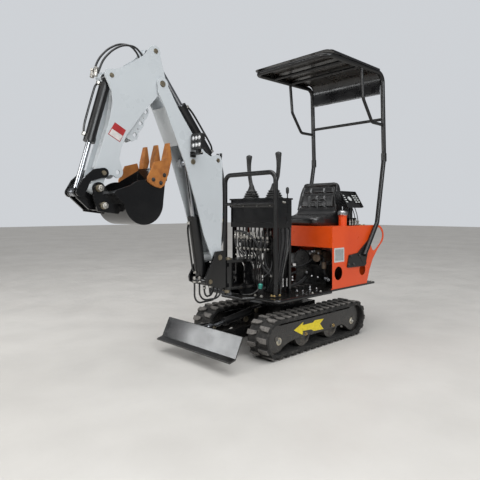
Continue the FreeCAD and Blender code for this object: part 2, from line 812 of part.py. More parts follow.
def make_deck():
    """The floor: a thick front plate with rolled edges, a thinner rear one, the slewing hub and the nose."""
    half = float(s.deck_half_width)
    nose = float(s.nose_half_width)
    front = float(s.deck_front_x)
    rear = float(s.deck_rear_x)
    joint = float(s.deck_joint_x)
    low = deck_top - float(s.deck_front_thick)
    floor = plan_plate(((joint, -half), (front, -half), (front, -nose), (front + 80, -nose + 40),
                        (front + 80, nose - 40), (front, nose), (front, half), (joint, half)), low, deck_top)
    floor = round_off(floor, float(s.deck_corner_radius), (0, 0, 1),
                      lambda middle: middle.x > front - 1 and abs(middle.y) > half - 1)
    rolled = float(s.deck_front_thick) * 0.42
    floor = floor.makeFillet(rolled, [edge for edge in floor.Edges
                                      if edge.BoundBox.ZLength < 0.1 and edge.CenterOfMass.x > joint + 1])
    rear_plate = plan_plate(((rear, -half + 12), (rear, half - 12), (joint + 1, half - 12), (joint + 1, -half + 12)),
                            deck_low, deck_top)
    rear_plate = round_off(rear_plate, 14, (0, 0, 1), lambda middle: middle.x < rear + 1)
    ring_top = float(s.chassis_top) - 1 + float(s.slew_ring_height)
    hub = Part.makeCylinder(float(s.slew_bore) - float(s.pin_fit), 80, Vector(0, 0, deck_low - 79))
    flange_low = ring_top + float(s.flat_gap)
    flange = Part.makeCylinder(float(s.slew_radius) + 14, deck_low + 1 - flange_low, Vector(0, 0, flange_low))
    swing_x = float(s.swing_axis_x)
    ear_end = float(s.swing_tube_radius)
    ears = []
    for ear_low in (float(s.swing_low_ear) - float(s.ear_thick), float(s.swing_high_ear)):
        ear = plan_plate(((380, -74), (swing_x, -ear_end), (swing_x, ear_end), (380, 74)),
                         ear_low, ear_low + float(s.ear_thick))
        ear = ear.fuse(Part.makeCylinder(ear_end, float(s.ear_thick), Vector(swing_x, 0, ear_low)))
        ears.append(ear.cut(Part.makeCylinder(float(s.swing_pin_radius), 100, Vector(swing_x, 0, ear_low - 10))))
    webs = [
        profile(((330, deck_top - 1), (500, deck_top - 1), (528, 452), (528, 468), (466, 490), (466, 622), (500, 658),
                 (424, 658), (372, 560)), y - 6, y + 6)
        for y in (-45, 45)
    ]
    clevis_x = float(s.swing_ram_foot_x)
    clevis_y = float(s.swing_ram_foot_y)
    clevis_z = float(s.swing_ram_height)
    clevis = []
    for lug_low in (clevis_z - 30, clevis_z + 18):
        lug = box((clevis_x - 60, clevis_x), (clevis_y - 18, clevis_y + 18), (lug_low, lug_low + 12))
        lug = lug.fuse(Part.makeCylinder(18, 12, Vector(clevis_x, clevis_y, lug_low)))
        clevis.append(lug.cut(Part.makeCylinder(11, 100, Vector(clevis_x, clevis_y, lug_low - 20))))
    clevis.append(box((clevis_x - 60, clevis_x - 30), (clevis_y - 18, clevis_y + 18), (deck_top - 1, clevis_z + 30)))
    return fuse_all([floor, rear_plate, hub, flange] + ears + webs + clevis)


shape_node("deck", make_deck())
kingpost_pin = fuse_all([
    Part.makeCylinder(float(s.swing_pin_radius), 250, Vector(float(s.swing_axis_x), 0, 425)),
    Part.makeCylinder(32, 10, Vector(float(s.swing_axis_x), 0, float(s.swing_high_ear) + float(s.ear_thick)))])
swing_foot_pin = fuse_all([
    Part.makeCylinder(11, 76, Vector(float(s.swing_ram_foot_x), float(s.swing_ram_foot_y), float(s.swing_ram_height) - 38)),
    Part.makeCylinder(16, 6, Vector(float(s.swing_ram_foot_x), float(s.swing_ram_foot_y), float(s.swing_ram_height) + 30))])
shape_node("deck_pins", Part.makeCompound([kingpost_pin, swing_foot_pin]))


# x and height round an orange side sheet, from its front foot back and up to the top
SIDE_BACK = ((-672, 0), (-714, 508), (-767, 596), (-848, 677), (-925, 735))
SIDE_LOBE = ((-925, 735), (-950, 790), (-935, 840), (-895, 872), (-860, 884))
SIDE_OPENING = ((-800, 862), (-745, 700), (-775, 668), (-840, 694), (-905, 745), (-928, 790), (-915, 830), (-885, 855))


def side_sheet(y0):
    """One orange side: slanting back edge, a round hole, an oval one and a lobe with a big opening."""
    thick = float(s.shell_sheet)
    front = float(s.shell_front_x)
    top = float(s.shell_top)
    lobe = Part.BSplineCurve()
    lobe.interpolate([Vector(x, y0, z) for x, z in SIDE_LOBE])
    corners = [Vector(x, y0, z) for x, z in SIDE_BACK]
    corners[0].z = deck_top
    corners = [Vector(front, y0, top), Vector(front, y0, deck_top)] + corners
    edges = [Part.LineSegment(corners[k], corners[k + 1]).toShape() for k in range(len(corners) - 1)]
    edges += [lobe.toShape(), Part.LineSegment(Vector(*(SIDE_LOBE[-1][0], y0, top)), corners[0]).toShape()]
    sheet_body = Part.Face(Part.Wire(Part.sortEdges(edges)[0])).extrude(Vector(0, thick, 0))
    loop = Part.BSplineCurve()
    loop.interpolate([Vector(x, y0 - 1, z) for x, z in SIDE_OPENING], PeriodicFlag=True)
    opening = Part.Face(Part.Wire([loop.toShape()])).extrude(Vector(0, thick + 2, 0))
    sheet_body = sheet_body.cut(opening)
    for x, z, radius in ((-257, 518, 53), (-603, 518, 46)):
        sheet_body = sheet_body.cut(Part.makeCylinder(radius, thick + 2, Vector(x, y0 - 1, z), Vector(0, 1, 0)))
    return sheet_body


def make_shell():
    half = float(s.shell_half_width)
    thick = float(s.shell_sheet)
    front = float(s.shell_front_x)
    rear = float(s.tank_rear_x)
    low = float(s.tank_bottom)
    top = float(s.shell_top)
    tank = box((rear, front), (-half, half), (low, top))
    tank = tank.cut(box((rear + thick, front - thick), (-half + thick, half - thick), (low + thick, top - thick)))
    rear_wall = box((-672, -664), (-half, half), (deck_top, low + 1))
    sills = [box((-668, front + 14), (side * (half - 12) - 12, side * (half - 12) + 12), (deck_top, deck_top + 6))
             for side in (-1, 1)]
    neck = upright(((0, -1), (33, -1), (33, 78), (37, 78), (37, 83), (0, 83)), s_filler_x, s_filler_y, top)
    return fuse_all([tank, side_sheet(half - thick), side_sheet(-half), rear_wall, neck] + sills)


s_filler_x = float(s.filler_x)
s_filler_y = float(s.filler_y)
shape_node("body_shell", make_shell())
shape_node("filler_cap", upright(
    ((0, 0), (36, 0), (42, 8), (42, 26), (36, 38), (22, 45), (0, 46)), s_filler_x, s_filler_y,
    float(s.shell_top) + 83.3))


# x, y and height of the engine's corner boxes: crankcase, flywheel housing, sump and gear pump
ENGINE_BLOCKS = (
    ((-560, -330), (-130, 120), (430, 560)),
    ((-520, -360), (-100, 90), (deck_top, 431)),
    ((-330, -285), (-45, 45), (440, 530)),
)


def make_engine():
    """An open engine: crankcase on its bearers, a finned barrel, blower housing, silencer, air cleaner and pump."""
    pieces = [box(*spans) for spans in ENGINE_BLOCKS]
    pieces += [box((x, x + 26), (-150, 150), (deck_top, 436)) for x in (-545, -380)]
    pieces.append(Part.makeCylinder(52, 92, Vector(-430, -5, 555)))
    for level in range(6):
        pieces.append(box((-500, -360), (-80, 70), (566 + 14 * level, 572 + 14 * level)))
    pieces.append(box((-490, -370), (-66, 58), (640, 668)))
    pieces.append(Part.makeCylinder(112, 60, Vector(-435, 118, 520), Vector(0, 1, 0)))
    pieces.append(Part.makeCylinder(70, 12, Vector(-435, 176, 520), Vector(0, 1, 0)))
    pieces.append(Part.makeCylinder(44, 150, Vector(-330, 60, 640), Vector(0, 1, 0)))
    pieces.append(box((-366, -340), (20, 80), (600, 646)))
    pieces.append(Part.makeCylinder(52, 84, Vector(-300, -120, 560)))
    pieces.append(box((-370, -300), (-130, -60), (560, 590)))
    pieces.append(Part.makeCylinder(34, 62, Vector(-290, 0, 485), Vector(1, 0, 0)))
    return fuse_all(pieces)


shape_node("engine", make_engine())


def make_canopy():
    """Two bent posts joined by the roof's front tube in one run, braces, cross tubes and the bolted side plates."""
    half = float(s.post_half_width)
    tube = float(s.post_tube_radius)
    brace = float(s.brace_tube_radius)
    top = float(s.roof_height)
    front = float(s.roof_front_x)
    side_run = ((-600, 640), (-800, 905), (-915, 1470), (-885, top), (front, top - 10))
    path = [(x, half, z) for x, z in side_run] + [(x, -half, z) for x, z in reversed(side_run)]
    pieces = [tube_shape(path, tube, bend=75)]
    for y in (-half, half):
        pieces.append(tube_shape(
            ((-895, y, 1752), (-715, y, 1752), (-580, y, 1925), (-550, y, top - 4)), brace, bend=45))
        pieces.append(Part.makeCylinder(tube + 4, 70, Vector(-914, y, 1436), Vector(0.02, 0, 1)))
    for x, z in ((-900, 1802), (-550, top - 4), (-320, top - 7)):
        pieces.append(Part.makeCylinder(brace, 2 * half, Vector(x, -half, z), Vector(0, 1, 0)))
    sheet_out = float(s.shell_half_width) + float(s.flat_gap)
    for y0 in (sheet_out, -sheet_out - 8):
        plate = profile(((-366, 553), (-395, 652), (-550, 664), (-660, 572), (-632, 548)), y0, y0 + 8)
        pieces.append(round_off(plate, 12, (0, 1, 0)))
    for side in (-1, 1):
        y = side * (sheet_out + 5)
        pieces.append(profile(((-520, 660), (-600, 570), (-640, 566), (-700, 740), (-684, 762)), y - 5, y + 5))
    return fuse_all(pieces)


shape_node("canopy_frame", make_canopy())


# x and height drop below the roof's top along the flap's rear face
FLAP_CURVE = ((-806, 0), (-842, -8), (-868, -34), (-880, -78), (-879, -195))


def make_roof():
    """The roof's sheet over its tubes, its rims turned down, and the flap that hangs down between the posts."""
    sheet_half = float(s.post_half_width) + float(s.post_tube_radius) + float(s.flat_gap) + 3
    flap_half = float(s.post_half_width) - float(s.post_tube_radius) - float(s.flat_gap)
    top = float(s.roof_height) + float(s.post_tube_radius) + float(s.flat_gap)
    front = float(s.roof_front_x) + 12
    slab = plan_plate(((front, -sheet_half), (front, sheet_half), (-806, sheet_half), (-806, -sheet_half)), top, top + 4)
    slab = round_off(slab, 60, (0, 0, 1), lambda middle: middle.x > front - 1)
    curve = Part.BSplineCurve()
    curve.interpolate([Vector(x, -flap_half, top + drop) for x, drop in FLAP_CURVE])
    back = Part.BSplineCurve()
    back.interpolate([Vector(x - (4 if drop < -20 else 0), -flap_half, top + drop + 4) for x, drop in FLAP_CURVE])
    ends = [(curve.StartPoint, back.StartPoint), (curve.EndPoint, back.EndPoint)]
    edges = [curve.toShape(), back.toShape()] + [Part.LineSegment(a, b).toShape() for a, b in ends]
    flap = Part.Face(Part.Wire(Part.sortEdges(edges)[0])).extrude(Vector(0, 2 * flap_half, 0))
    rims = [box((-806, front - 60), (y, y + 3), (top - 14, top + 1)) for y in (-sheet_half, sheet_half - 3)]
    return fuse_all([slab, flap] + rims)


shape_node("canopy_roof", make_roof())


def make_hoop():
    half = float(s.hoop_half_width)
    x = float(s.hoop_x)
    tube = float(s.hoop_tube_radius)
    top = float(s.hoop_top)
    hoop = tube_shape(((x, -half, deck_top), (x, -half, top), (x, half, top), (x, half, deck_top)), tube, bend=60)
    bar = Part.makeCylinder(12, 2 * half, Vector(x, -half, 1055), Vector(0, 1, 0))
    feet = [box((x - 40, x + 40), (y - 28, y + 28), (deck_top, deck_top + 8)) for y in (-half, half)]
    return fuse_all([hoop, bar] + feet)


shape_node("guard_hoop", make_hoop())

console_front = float(s.hoop_x) - float(s.hoop_tube_radius) - 1
console_rear = float(s.console_rear_x)
console_half = float(s.console_half_width)
console_low = float(s.console_bottom)
console_top = float(s.console_top)


def make_console():
    """A sheet-metal box under an overhanging lid, a folded shelf on its face, vents in its sides and four legs."""
    body = box((console_rear + 10, console_front - 12), (-console_half + 8, console_half - 8),
               (console_low, console_top - 10))
    lid = box((console_rear, console_front), (-console_half, console_half), (console_top - 12, console_top))
    lid = round_off(lid, 8, (0, 0, 1))
    shelf = profile(((console_front - 13, 1064), (console_front - 2, 1060), (console_front - 2, 1052),
                     (console_front - 6, 1030), (console_front - 13, 1030)), -console_half + 2, console_half - 20)
    lip = profile(((console_front - 13, console_low), (console_front - 4, console_low), (console_front - 4, console_low + 36),
                   (console_front - 13, console_low + 40)), -console_half + 30, console_half - 16)
    vents = []
    for side in (-1, 1):
        y = side * (console_half - 8)
        for level in range(4):
            vents.append(box((198, 262), (y - 5, y + 5), (992 + 18 * level, 999 + 18 * level)))
        vents.append(Part.makeCylinder(26, 10, Vector(232, y - 5, 935), Vector(0, 1, 0)))
    body = body.cut(Part.makeCompound(vents))
    legs = [box((x, x + 25), (y, y + 25), (deck_top, console_low + 1))
            for x in (console_rear + 12, console_front - 50) for y in (-console_half + 10, console_half - 35)]
    return fuse_all([body, lid, shelf, lip] + legs)


shape_node("console", make_console())

# radius and height above the lid up a joystick's boot, then up its grip
BELLOWS = ((0, 0), (66, 0), (66, 7), (54, 12), (60, 20), (46, 27), (52, 36), (38, 43), (43, 52), (29, 60), (26, 84),
           (17, 118), (0, 124))
GRIP = ((0, 0), (13, 0), (17, 12), (16, 40), (20, 68), (23, 100), (24, 118), (18, 132), (0, 135))
# y of a boot, and how far its stem's bend and its grip's foot stand from that
STICKS = ((-95, -16, -27), (138, 34, 44))


def make_joysticks():
    """Two joysticks with ribbed boots, bent stems and shaped grips, and a small lever at the lid's left edge."""
    sticks = []
    for y, bend_y, grip_y in STICKS:
        boot = upright(BELLOWS, 250, y, console_top)
        stem = tube_shape(((250, y, console_top + 100), (250, y + bend_y, console_top + 160),
                           (250, y + grip_y, console_top + 206)), 9)
        sticks.append(fuse_all([boot, stem, upright(GRIP, 250, y + grip_y, console_top + 199)]))
    lever = upright(((0, 0), (5, 0), (5, 30), (11, 36), (12, 70), (7, 80), (0, 80)), 200, console_half - 14, console_top)
    return Part.makeCompound(sticks + [lever])


shape_node("joysticks", make_joysticks())


hose_radius = float(s.hose_radius)
valve_front = 296
# distance in front of the valve's ports and height down a hose, then its y as a share of its port's y
VALVE_HOSE = ((4, 722, 1), (46, 722, 1), (52, 660, 0.86), (44, 590, 0.46), (26, 500, 0.42), (18, 440, 0.46), (18, 400, 0.46))


def make_valve_bank():
    """A bank of valve sections on a strap: elbows and ferrules up to the console, and hoses down to the deck."""
    pieces = [box((console_rear + 13, console_rear + 36), (-console_half + 35.3, console_half - 35.3), (728, 740)),
              box((185, 290), (-168, 168), (700, 780))]
    for number in range(8):
        y = -151 + number * 42
        pieces.append(box((190, valve_front), (y - 17, y + 17), (690, 800)))
        pieces.append(Part.makeCylinder(11, 22, Vector(valve_front - 1, y, 722), Vector(1, 0, 0)))
        pieces.append(Part.makeCylinder(10, 38, Vector(valve_front - 1, y, 770), Vector(1, 0, 0)))
        pieces.append(upright(((0, 0), (10, 0), (10, 22), (13, 22), (13, 36), (9, 40), (9, 84), (hose_radius, 86),
                               (hose_radius, console_low - float(s.flat_gap) - 760), (0, console_low - float(s.flat_gap) - 760)),
                              valve_front + 29, y, 760))
        pieces.append(Part.makeCylinder(9, 22, Vector(245, y, 799)))
        route = [(valve_front + out, 30 + (y - 30) * share if share < 1 else y, z + (float(s.flat_gap) if z == 400 else 0))
                 for out, z, share in VALVE_HOSE]
        pieces.append(tube_shape(route, hose_radius))
    return fuse_all(pieces)


shape_node("valve_bank", make_valve_bank())

seat_low = float(s.shell_top) + float(s.flat_gap)
# x and height of the pan's side view from its rear foot forwards, and of the backrest's from its front foot up
PAN_SIDE = ((-545, 0), (-190, 0), (-166, 26), (-168, 52), (-200, 76), (-330, 66), (-450, 72), (-545, 96))
BACK_SIDE = ((-455, 60), (-440, 110), (-456, 220), (-492, 352), (-520, 368), (-548, 350), (-566, 300), (-556, 120),
             (-545, 60))


def make_seat():
    """A moulded seat: a pan with a drooping front edge and a backrest with rounded shoulders."""
    pan_half = float(s.seat_half_width)
    pan = profile([(x, seat_low + rise) for x, rise in PAN_SIDE], -pan_half, pan_half)
    pan = round_off(pan, 45, (0, 0, 1), lambda middle: middle.x > -300) if edges_along(
        pan, (0, 0, 1), lambda middle: middle.x > -300) else pan
    back = profile([(x, seat_low + rise) for x, rise in BACK_SIDE], -pan_half + 8, pan_half - 8)
    shoulder = cross_profile(((-pan_half, 0), (pan_half, 0), (pan_half, seat_low + 400), (-pan_half, seat_low + 400)),
                             -600, -400)
    shoulder = shoulder.cut(round_off(cross_profile(
        ((-pan_half + 8, 0), (pan_half - 8, 0), (pan_half - 30, seat_low + 372), (-pan_half + 30, seat_low + 372)),
        -601, -399), 62, (1, 0, 0), lambda middle: middle.z > seat_low))
    return pan.fuse(back.cut(shoulder)).removeSplitter()


shape_node("seat", make_seat())


def make_instrument_box():
    """The instrument panel, leaning outwards on a stand above the tank, with its terminals below."""
    case = cross_profile(((232, 1165), (272, 1168), (352, 1036), (330, 1030), (232, 1060)), -630, -395)
    case = case.cut(cross_profile(((262, 1162), (352, 1014), (362, 1020), (284, 1180)), -618, -407))
    face = cross_profile(((258, 1160), (266, 1160), (345, 1030), (337, 1030)), -622, -403)
    stand = box((-600, -470), (252, 262), (seat_low, 1062))
    foot = box((-610, -460), (250, 320), (seat_low, seat_low + 6))
    relays = [box((x, x + 34), (262, 300), (seat_low + 6, seat_low + 62)) for x in (-600, -548)]
    return fuse_all([case, face, stand, foot] + relays)


shape_node("instrument_box", make_instrument_box())

# Swing bracket

# x and height of a bracket plate, from its lower rear corner forwards and up
BRACKET_PLATE = ((690, 484), (727, 480), (814, 506), (862, 524), (868, 562), (806, 672), (778, 732), (690, 735))


def make_bracket():
    """The boom's swing bracket: a tube on the kingpost, an arm forwards, two plates for the boom and a ram lug."""
    half = float(s.bracket_half_width)
    thick = float(s.bracket_plate_thick)
    swing_x = float(s.swing_axis_x)
    foot_x, foot_z = float(s.boom_foot_x), float(s.boom_foot_height)
    ram_x, ram_z = float(s.boom_ram_foot_x), float(s.boom_ram_foot_height)
    low = float(s.swing_low_ear) + float(s.flat_gap)
    high = float(s.swing_high_ear) - float(s.flat_gap)
    tube = Part.makeCylinder(float(s.swing_tube_radius), high - low, Vector(swing_x, 0, low))
    arm = plan_plate(((swing_x, -34), (swing_x, 34), (675, 50), (691, half - 1), (691, -half + 1), (675, -50)), low, high)
    rib_low, rib_high = low + 26, high - 26
    groove = [plan_plate(((610, side * 30), (680, side * 34), (680, side * 96), (610, side * 96)), rib_low, rib_high)
              for side in (-1, 1)]
    arm = arm.cut(Part.makeCompound(groove))
    bore = Part.makeCylinder(float(s.swing_pin_radius) + float(s.pin_fit), 400, Vector(swing_x, 0, 400))
    plates = []
    for y0 in (-half, half - thick):
        plate = profile(BRACKET_PLATE, y0, y0 + thick)
        plates.append(round_off(plate, 14, (0, 1, 0), lambda middle: middle.x > 760))
    bar = box((690, 716), (-half + 1, half - 1), (484, 500))
    eye_x = float(s.swing_ram_eye_x)
    eye_y = float(s.swing_ram_eye_y)
    lug_z = float(s.swing_ram_height)
    lugs = []
    for start in (lug_z - 32, lug_z + 20):
        lug = plan_plate(((swing_x - 34, -18), (eye_x - 19, eye_y), (eye_x + 19, eye_y), (swing_x + 62, -44),
                          (swing_x + 62, -18)), start, start + 12)
        lugs.append(lug.fuse(Part.makeCylinder(20, 12, Vector(eye_x, eye_y, start))))
    cheeks = [Part.makeCylinder(28, half - thick - 29, Vector(ram_x, start, ram_z), Vector(0, 1, 0))
              for start in (30, -half + thick - 1)]
    bracket = fuse_all([tube, arm, bar] + plates + lugs + cheeks)
    eye_hole = Part.makeCylinder(11, 100, Vector(eye_x, eye_y, lug_z - 50))
    foot_hole = Part.makeCylinder(20, 300, Vector(foot_x, -150, foot_z), Vector(0, 1, 0))
    ram_hole = Part.makeCylinder(17, 300, Vector(ram_x, -150, ram_z), Vector(0, 1, 0))
    return bracket.cut(Part.makeCompound([bore, eye_hole, foot_hole, ram_hole]))


shape_node("swing_bracket", make_bracket())
bracket_half = float(s.bracket_half_width)
swing_eye_stubs = [
    Part.makeCylinder(11, 16, Vector(float(s.swing_ram_eye_x), float(s.swing_ram_eye_y), float(s.swing_ram_height) + rise))
    for rise in (-36, 20)
]
shape_node("bracket_pins", Part.makeCompound([
    pin_shape(float(s.boom_foot_x), float(s.boom_foot_height), bracket_half - pin_set_back, 20, 16, 7),
    pin_shape(float(s.boom_ram_foot_x), float(s.boom_ram_foot_height), bracket_half - pin_set_back, 17, 14, 7)] + swing_eye_stubs))

ferrule_radius = hose_radius * 1.5

# x, y and height of a loop's upper end, its lowest height, and x and y where it meets the bracket's lower bar
LOOPS = (
    (925, 49, 556, 398, 703, 20),
    (884, 49, 552, 412, 703, 62),
    (834, 38, 505, 426, 703, -20),
    (800, 62, 512, 440, 703, -62),
)


def make_loops():
    """Four hoses that hang in loops below the bracket, with a ferrule at both ends of each."""
    hoses = []
    for x, y, top, low, end_x, end_y in LOOPS:
        end_z = 484 - float(s.flat_gap)
        run = ((x, y, top), (x, y, low), (end_x, end_y, low), (end_x, end_y, end_z))
        hose = tube_shape(run, hose_radius, bend=min(float(s.hose_bend), 0.46 * math.dist((x, y), (end_x, end_y)),
                                                     end_z - low - 1, top - low - 1))
        ends = [Part.makeCylinder(ferrule_radius, 24, Vector(x, y, top - 24)),
                Part.makeCylinder(ferrule_radius, 16, Vector(end_x, end_y, end_z - 16))]
        hoses.append(fuse_all([hose] + ends))
    return Part.makeCompound(hoses)


shape_node("bracket_hoses", make_loops())

# Boom

# The boom is a box of plates: closed on its back, and in front only between the elbow and the fork
BOOM_OUTLINE = (
    (1222, 1770), (1220, 1720), (1165, 1625), (1070, 1416), (1015, 1300), (923, 1042), (863, 845), (785, 672),
    (712, 660), (708, 874), (703, 1078), (700, 1300), (704, 1345), (720, 1374), (745, 1382), (807, 1366),
    (858, 1393), (951, 1490), (1024, 1584), (1077, 1655), (1129, 1739), (1150, 1770))
BOOM_INSIDE = (
    (1260, 1860), (1280, 1640), (1175, 1640), (1155, 1626), (1061, 1420), (1085, 1402), (1035, 1290), (945, 1035),
    (885, 838), (830, 680), (800, 630), (660, 630), (660, 655), (720, 662), (716, 874), (711, 1078), (709, 1262),
    (724, 1282), (766, 1292), (814, 1334), (866, 1388), (958, 1483), (1031, 1578), (1070, 1650), (1090, 1860))
# The back plate dips under the arm ram's foot, and the side plates stand above it as its ears
BOOM_NOTCH = (
    (680, 1278), (718, 1292), (762, 1301), (808, 1342), (862, 1396), (862, 1480), (680, 1480))


def make_boom():
    body = new_body("boom")
    corners = [(as_size(x), as_size(z)) for x, z in BOOM_OUTLINE]
    rounds = (
        (s.boom_foot_x, s.boom_foot_height, as_size(44)),
        (s.boom_tip_x, s.boom_tip_height, as_size(40)),
    )
    add_box_section(body, s.boom_half_width, corners, rounds)
    hollow = new_sketch(body, "XZ_Plane")
    add_outline(hollow, [(as_size(x), as_size(z)) for x, z in BOOM_INSIDE])
    pocket(body, hollow, s.boom_half_width * 2 - s.boom_plate_thick * 2, middle=True)
    notch = new_sketch(body, "XZ_Plane")
    add_outline(notch, [(as_size(x), as_size(z)) for x, z in BOOM_NOTCH])
    pocket(body, notch, s.boom_half_width * 2 - s.boom_plate_thick * 2, middle=True)
    eye_boss = add_plate(body, 30, s.boom_half_width - 30, None, ((s.boom_ram_eye_x, s.boom_ram_eye_height, as_size(30)),))
    foot_boss = add_plate(body, 27, s.boom_half_width - 27, None, ((s.arm_ram_foot_x, s.arm_ram_foot_height, as_size(26)),))
    mirror_sides(body, eye_boss + foot_boss)
    tube = new_sketch(body, "XZ_Plane")
    add_circle(tube, s.boom_foot_x, s.boom_foot_height, as_size(32))
    pad(body, tube, (s.bracket_half_width - s.bracket_plate_thick - s.flat_gap) * 2, middle=True)
    cut_bores(body, (
        (s.boom_foot_x, s.boom_foot_height, 20 + s.pin_fit),
        (s.boom_tip_x, s.boom_tip_height, as_size(20)),
        (s.boom_ram_eye_x, s.boom_ram_eye_height, as_size(17)),
        (s.arm_ram_foot_x, s.arm_ram_foot_height, as_size(15)),
    ))
    place(body)
    return body


make_boom()
boom_half = float(s.boom_half_width)


def eye_heads(x, z, inner, outer, radius):
    """The two ends of a pin whose middle is left out, so that the ram's eye can pass between them."""
    return [
        Part.makeCylinder(radius, outer - inner, Vector(x, start, z), Vector(0, 1, 0))
        for start in (inner, -outer)
    ]


shape_node("boom_pins", Part.makeCompound(
    [pin_shape(float(s.boom_tip_x), float(s.boom_tip_height), boom_half - pin_set_back, 20, 16, 7),
     pin_shape(float(s.arm_ram_foot_x), float(s.arm_ram_foot_height), boom_half - pin_set_back, 15, 12, 7)]
    + eye_heads(float(s.boom_ram_eye_x), float(s.boom_ram_eye_height), 31, boom_half + 5, 17)))

# x and height of the boom's back hose, from its foot up past the arm ram's foot
BACK_HOSE = ((687, 772), (690, 860), (688, 1060), (686, 1210), (664, 1310), (668, 1392))


def make_back_hoses():
    """Two hoses up the boom's back in clamps, towards the arm ram's ports."""
    pieces = []
    for y in (-17, 17):
        pieces.append(tube_shape([(x, y, z) for x, z in BACK_HOSE], hose_radius))
        pieces.append(Part.makeCylinder(ferrule_radius, 26, Vector(667, y, 1376)))
        pieces.append(Part.makeCylinder(ferrule_radius, 26, Vector(687, y, 764)))
    for height, plate_x in ((880, 707.2), (1130, 701.9)):
        pieces.append(box((676, plate_x - float(s.flat_gap)), (-30, 30), (height, height + 22)))
    return fuse_all(pieces)


shape_node("boom_hoses", make_back_hoses())

# Arm: two plates with a box set back between them

ARM_OUTLINE = (
    (1259, 1996), (1308, 1927), (1419, 1843), (1473, 1813), (1552, 1793), (1564, 1759), (1521, 1675), (1514, 1619),
    (1530, 1530), (1553, 1449), (1625, 1232), (1648, 1125), (1585, 1120), (1558, 1196), (1531, 1205), (1475, 1194),
    (1451, 1228), (1475, 1299), (1459, 1366), (1425, 1442), (1392, 1483), (1323, 1574), (1206, 1707), (1146, 1770),
    (1186, 1912), (1205, 1990))
ARM_BOX = (
    (1240, 1720), (1215, 1850), (1290, 1880), (1400, 1800), (1480, 1700), (1488, 1600), (1510, 1500), (1590, 1250),
    (1560, 1215), (1500, 1230), (1490, 1330), (1470, 1380), (1400, 1490), (1330, 1590))

THUMB_RACK = (
    (1264, 1600), (1282, 1624), (1306, 1612), (1345, 1565), (1405, 1490), (1425, 1430), (1378, 1410), (1345, 1425),
    (1337, 1462), (1306, 1500), (1298, 1537), (1270, 1572))

THUMB_HOLES = ((1287, 1597), (1322, 1523), (1362, 1451))


def make_arm():
    body = new_body("arm")
    half = s.arm_half_width
    thick = s.arm_plate_thick
    corners = [(as_size(x), as_size(z)) for x, z in ARM_OUTLINE]
    rounds = (
        (s.boom_tip_x, s.boom_tip_height, as_size(42)),
        (s.arm_ram_eye_x, s.arm_ram_eye_height, as_size(32)),
        (s.thumb_pin_x, s.thumb_pin_height, as_size(33)),
        (s.bucket_pin_x, s.bucket_pin_height, as_size(33)),
    )
    plates = add_plate(body, half - thick, thick, corners, rounds)
    bosses = add_plate(body, half - 1, s.bucket_ear_y - s.flat_gap - half + 1, None,
                       ((s.bucket_pin_x, s.bucket_pin_height, as_size(30)),))
    eye_bosses = add_plate(body, 27, half - thick - 26, None, ((s.arm_ram_eye_x, s.arm_ram_eye_height, as_size(26)),))
    foot_bosses = add_plate(body, 25, half - thick - 24, None, (
        (s.bucket_ram_foot_x, s.bucket_ram_foot_height, as_size(24)),))
    lobes = [(as_size(x), as_size(z), as_size(25)) for x, z in THUMB_HOLES]
    rack = add_plate(body, 28, as_size(9), [(as_size(x), as_size(z)) for x, z in THUMB_RACK], lobes)
    mirror_sides(body, plates + bosses + eye_bosses + foot_bosses + rack)
    outer = new_sketch(body, "XZ_Plane")
    add_outline(outer, [(as_size(x), as_size(z)) for x, z in ARM_BOX])
    pad(body, outer, half * 2 - thick * 2 + 1, middle=True)
    hollow = new_sketch(body, "XZ_Plane")
    add_outline(hollow, [(as_size(x), as_size(z)) for x, z in inset(ARM_BOX, 8)])
    pocket(body, hollow, half * 2 - thick * 2, middle=True)
    tubes = new_sketch(body, "XZ_Plane")
    add_circle(tubes, s.bucket_pin_x, s.bucket_pin_height, as_size(30))
    pad(body, tubes, half * 2, middle=True)
    elbow_tube = new_sketch(body, "XZ_Plane")
    add_circle(elbow_tube, s.boom_tip_x, s.boom_tip_height, as_size(34))
    pad(body, elbow_tube, (s.boom_half_width - s.boom_plate_thick - s.flat_gap) * 2, middle=True)
    rocker_tube = new_sketch(body, "XZ_Plane")
    add_circle(rocker_tube, s.rocker_pin_x, s.rocker_pin_height, as_size(26))
    pad(body, rocker_tube, (s.rocker_y - s.flat_gap) * 2, middle=True)
    cut_bores(body, (
        (s.boom_tip_x, s.boom_tip_height, 20 + s.pin_fit),
        (s.arm_ram_eye_x, s.arm_ram_eye_height, as_size(15)),
        (s.thumb_pin_x, s.thumb_pin_height, as_size(13)),
        (s.bucket_ram_foot_x, s.bucket_ram_foot_height, as_size(14)),
        (s.rocker_pin_x, s.rocker_pin_height, as_size(14)),
        (s.bucket_pin_x, s.bucket_pin_height, 15 + s.pin_fit),
    ))
    cut_bores(body, [(as_size(x), as_size(z), as_size(radius)) for x, z, radius in (
        *((x, z, 13) for x, z in THUMB_HOLES), (1305, 1556, 5), (1342, 1485, 5))])
    place(body)
    return body


make_arm()
arm_half = float(s.arm_half_width)
shape_node("arm_pins", Part.makeCompound(
    eye_heads(float(s.arm_ram_eye_x), float(s.arm_ram_eye_height), 28, arm_half + 3, 15)
    + [pin_shape(float(s.bucket_ram_foot_x), float(s.bucket_ram_foot_height), arm_half - pin_set_back, 14, 11, 7),
       pin_shape(float(s.rocker_pin_x), float(s.rocker_pin_height), float(s.rocker_y) + 10, 14, 12, 7)]))

# x and height of the arm's outer hose from the box's top, over the plates' edge, to the bucket ram's foot
ARM_HOSE = ((1291, 1880), (1300, 1944), (1352, 1990), (1430, 1982), (1502, 1936), (1562, 1866), (1592, 1784))


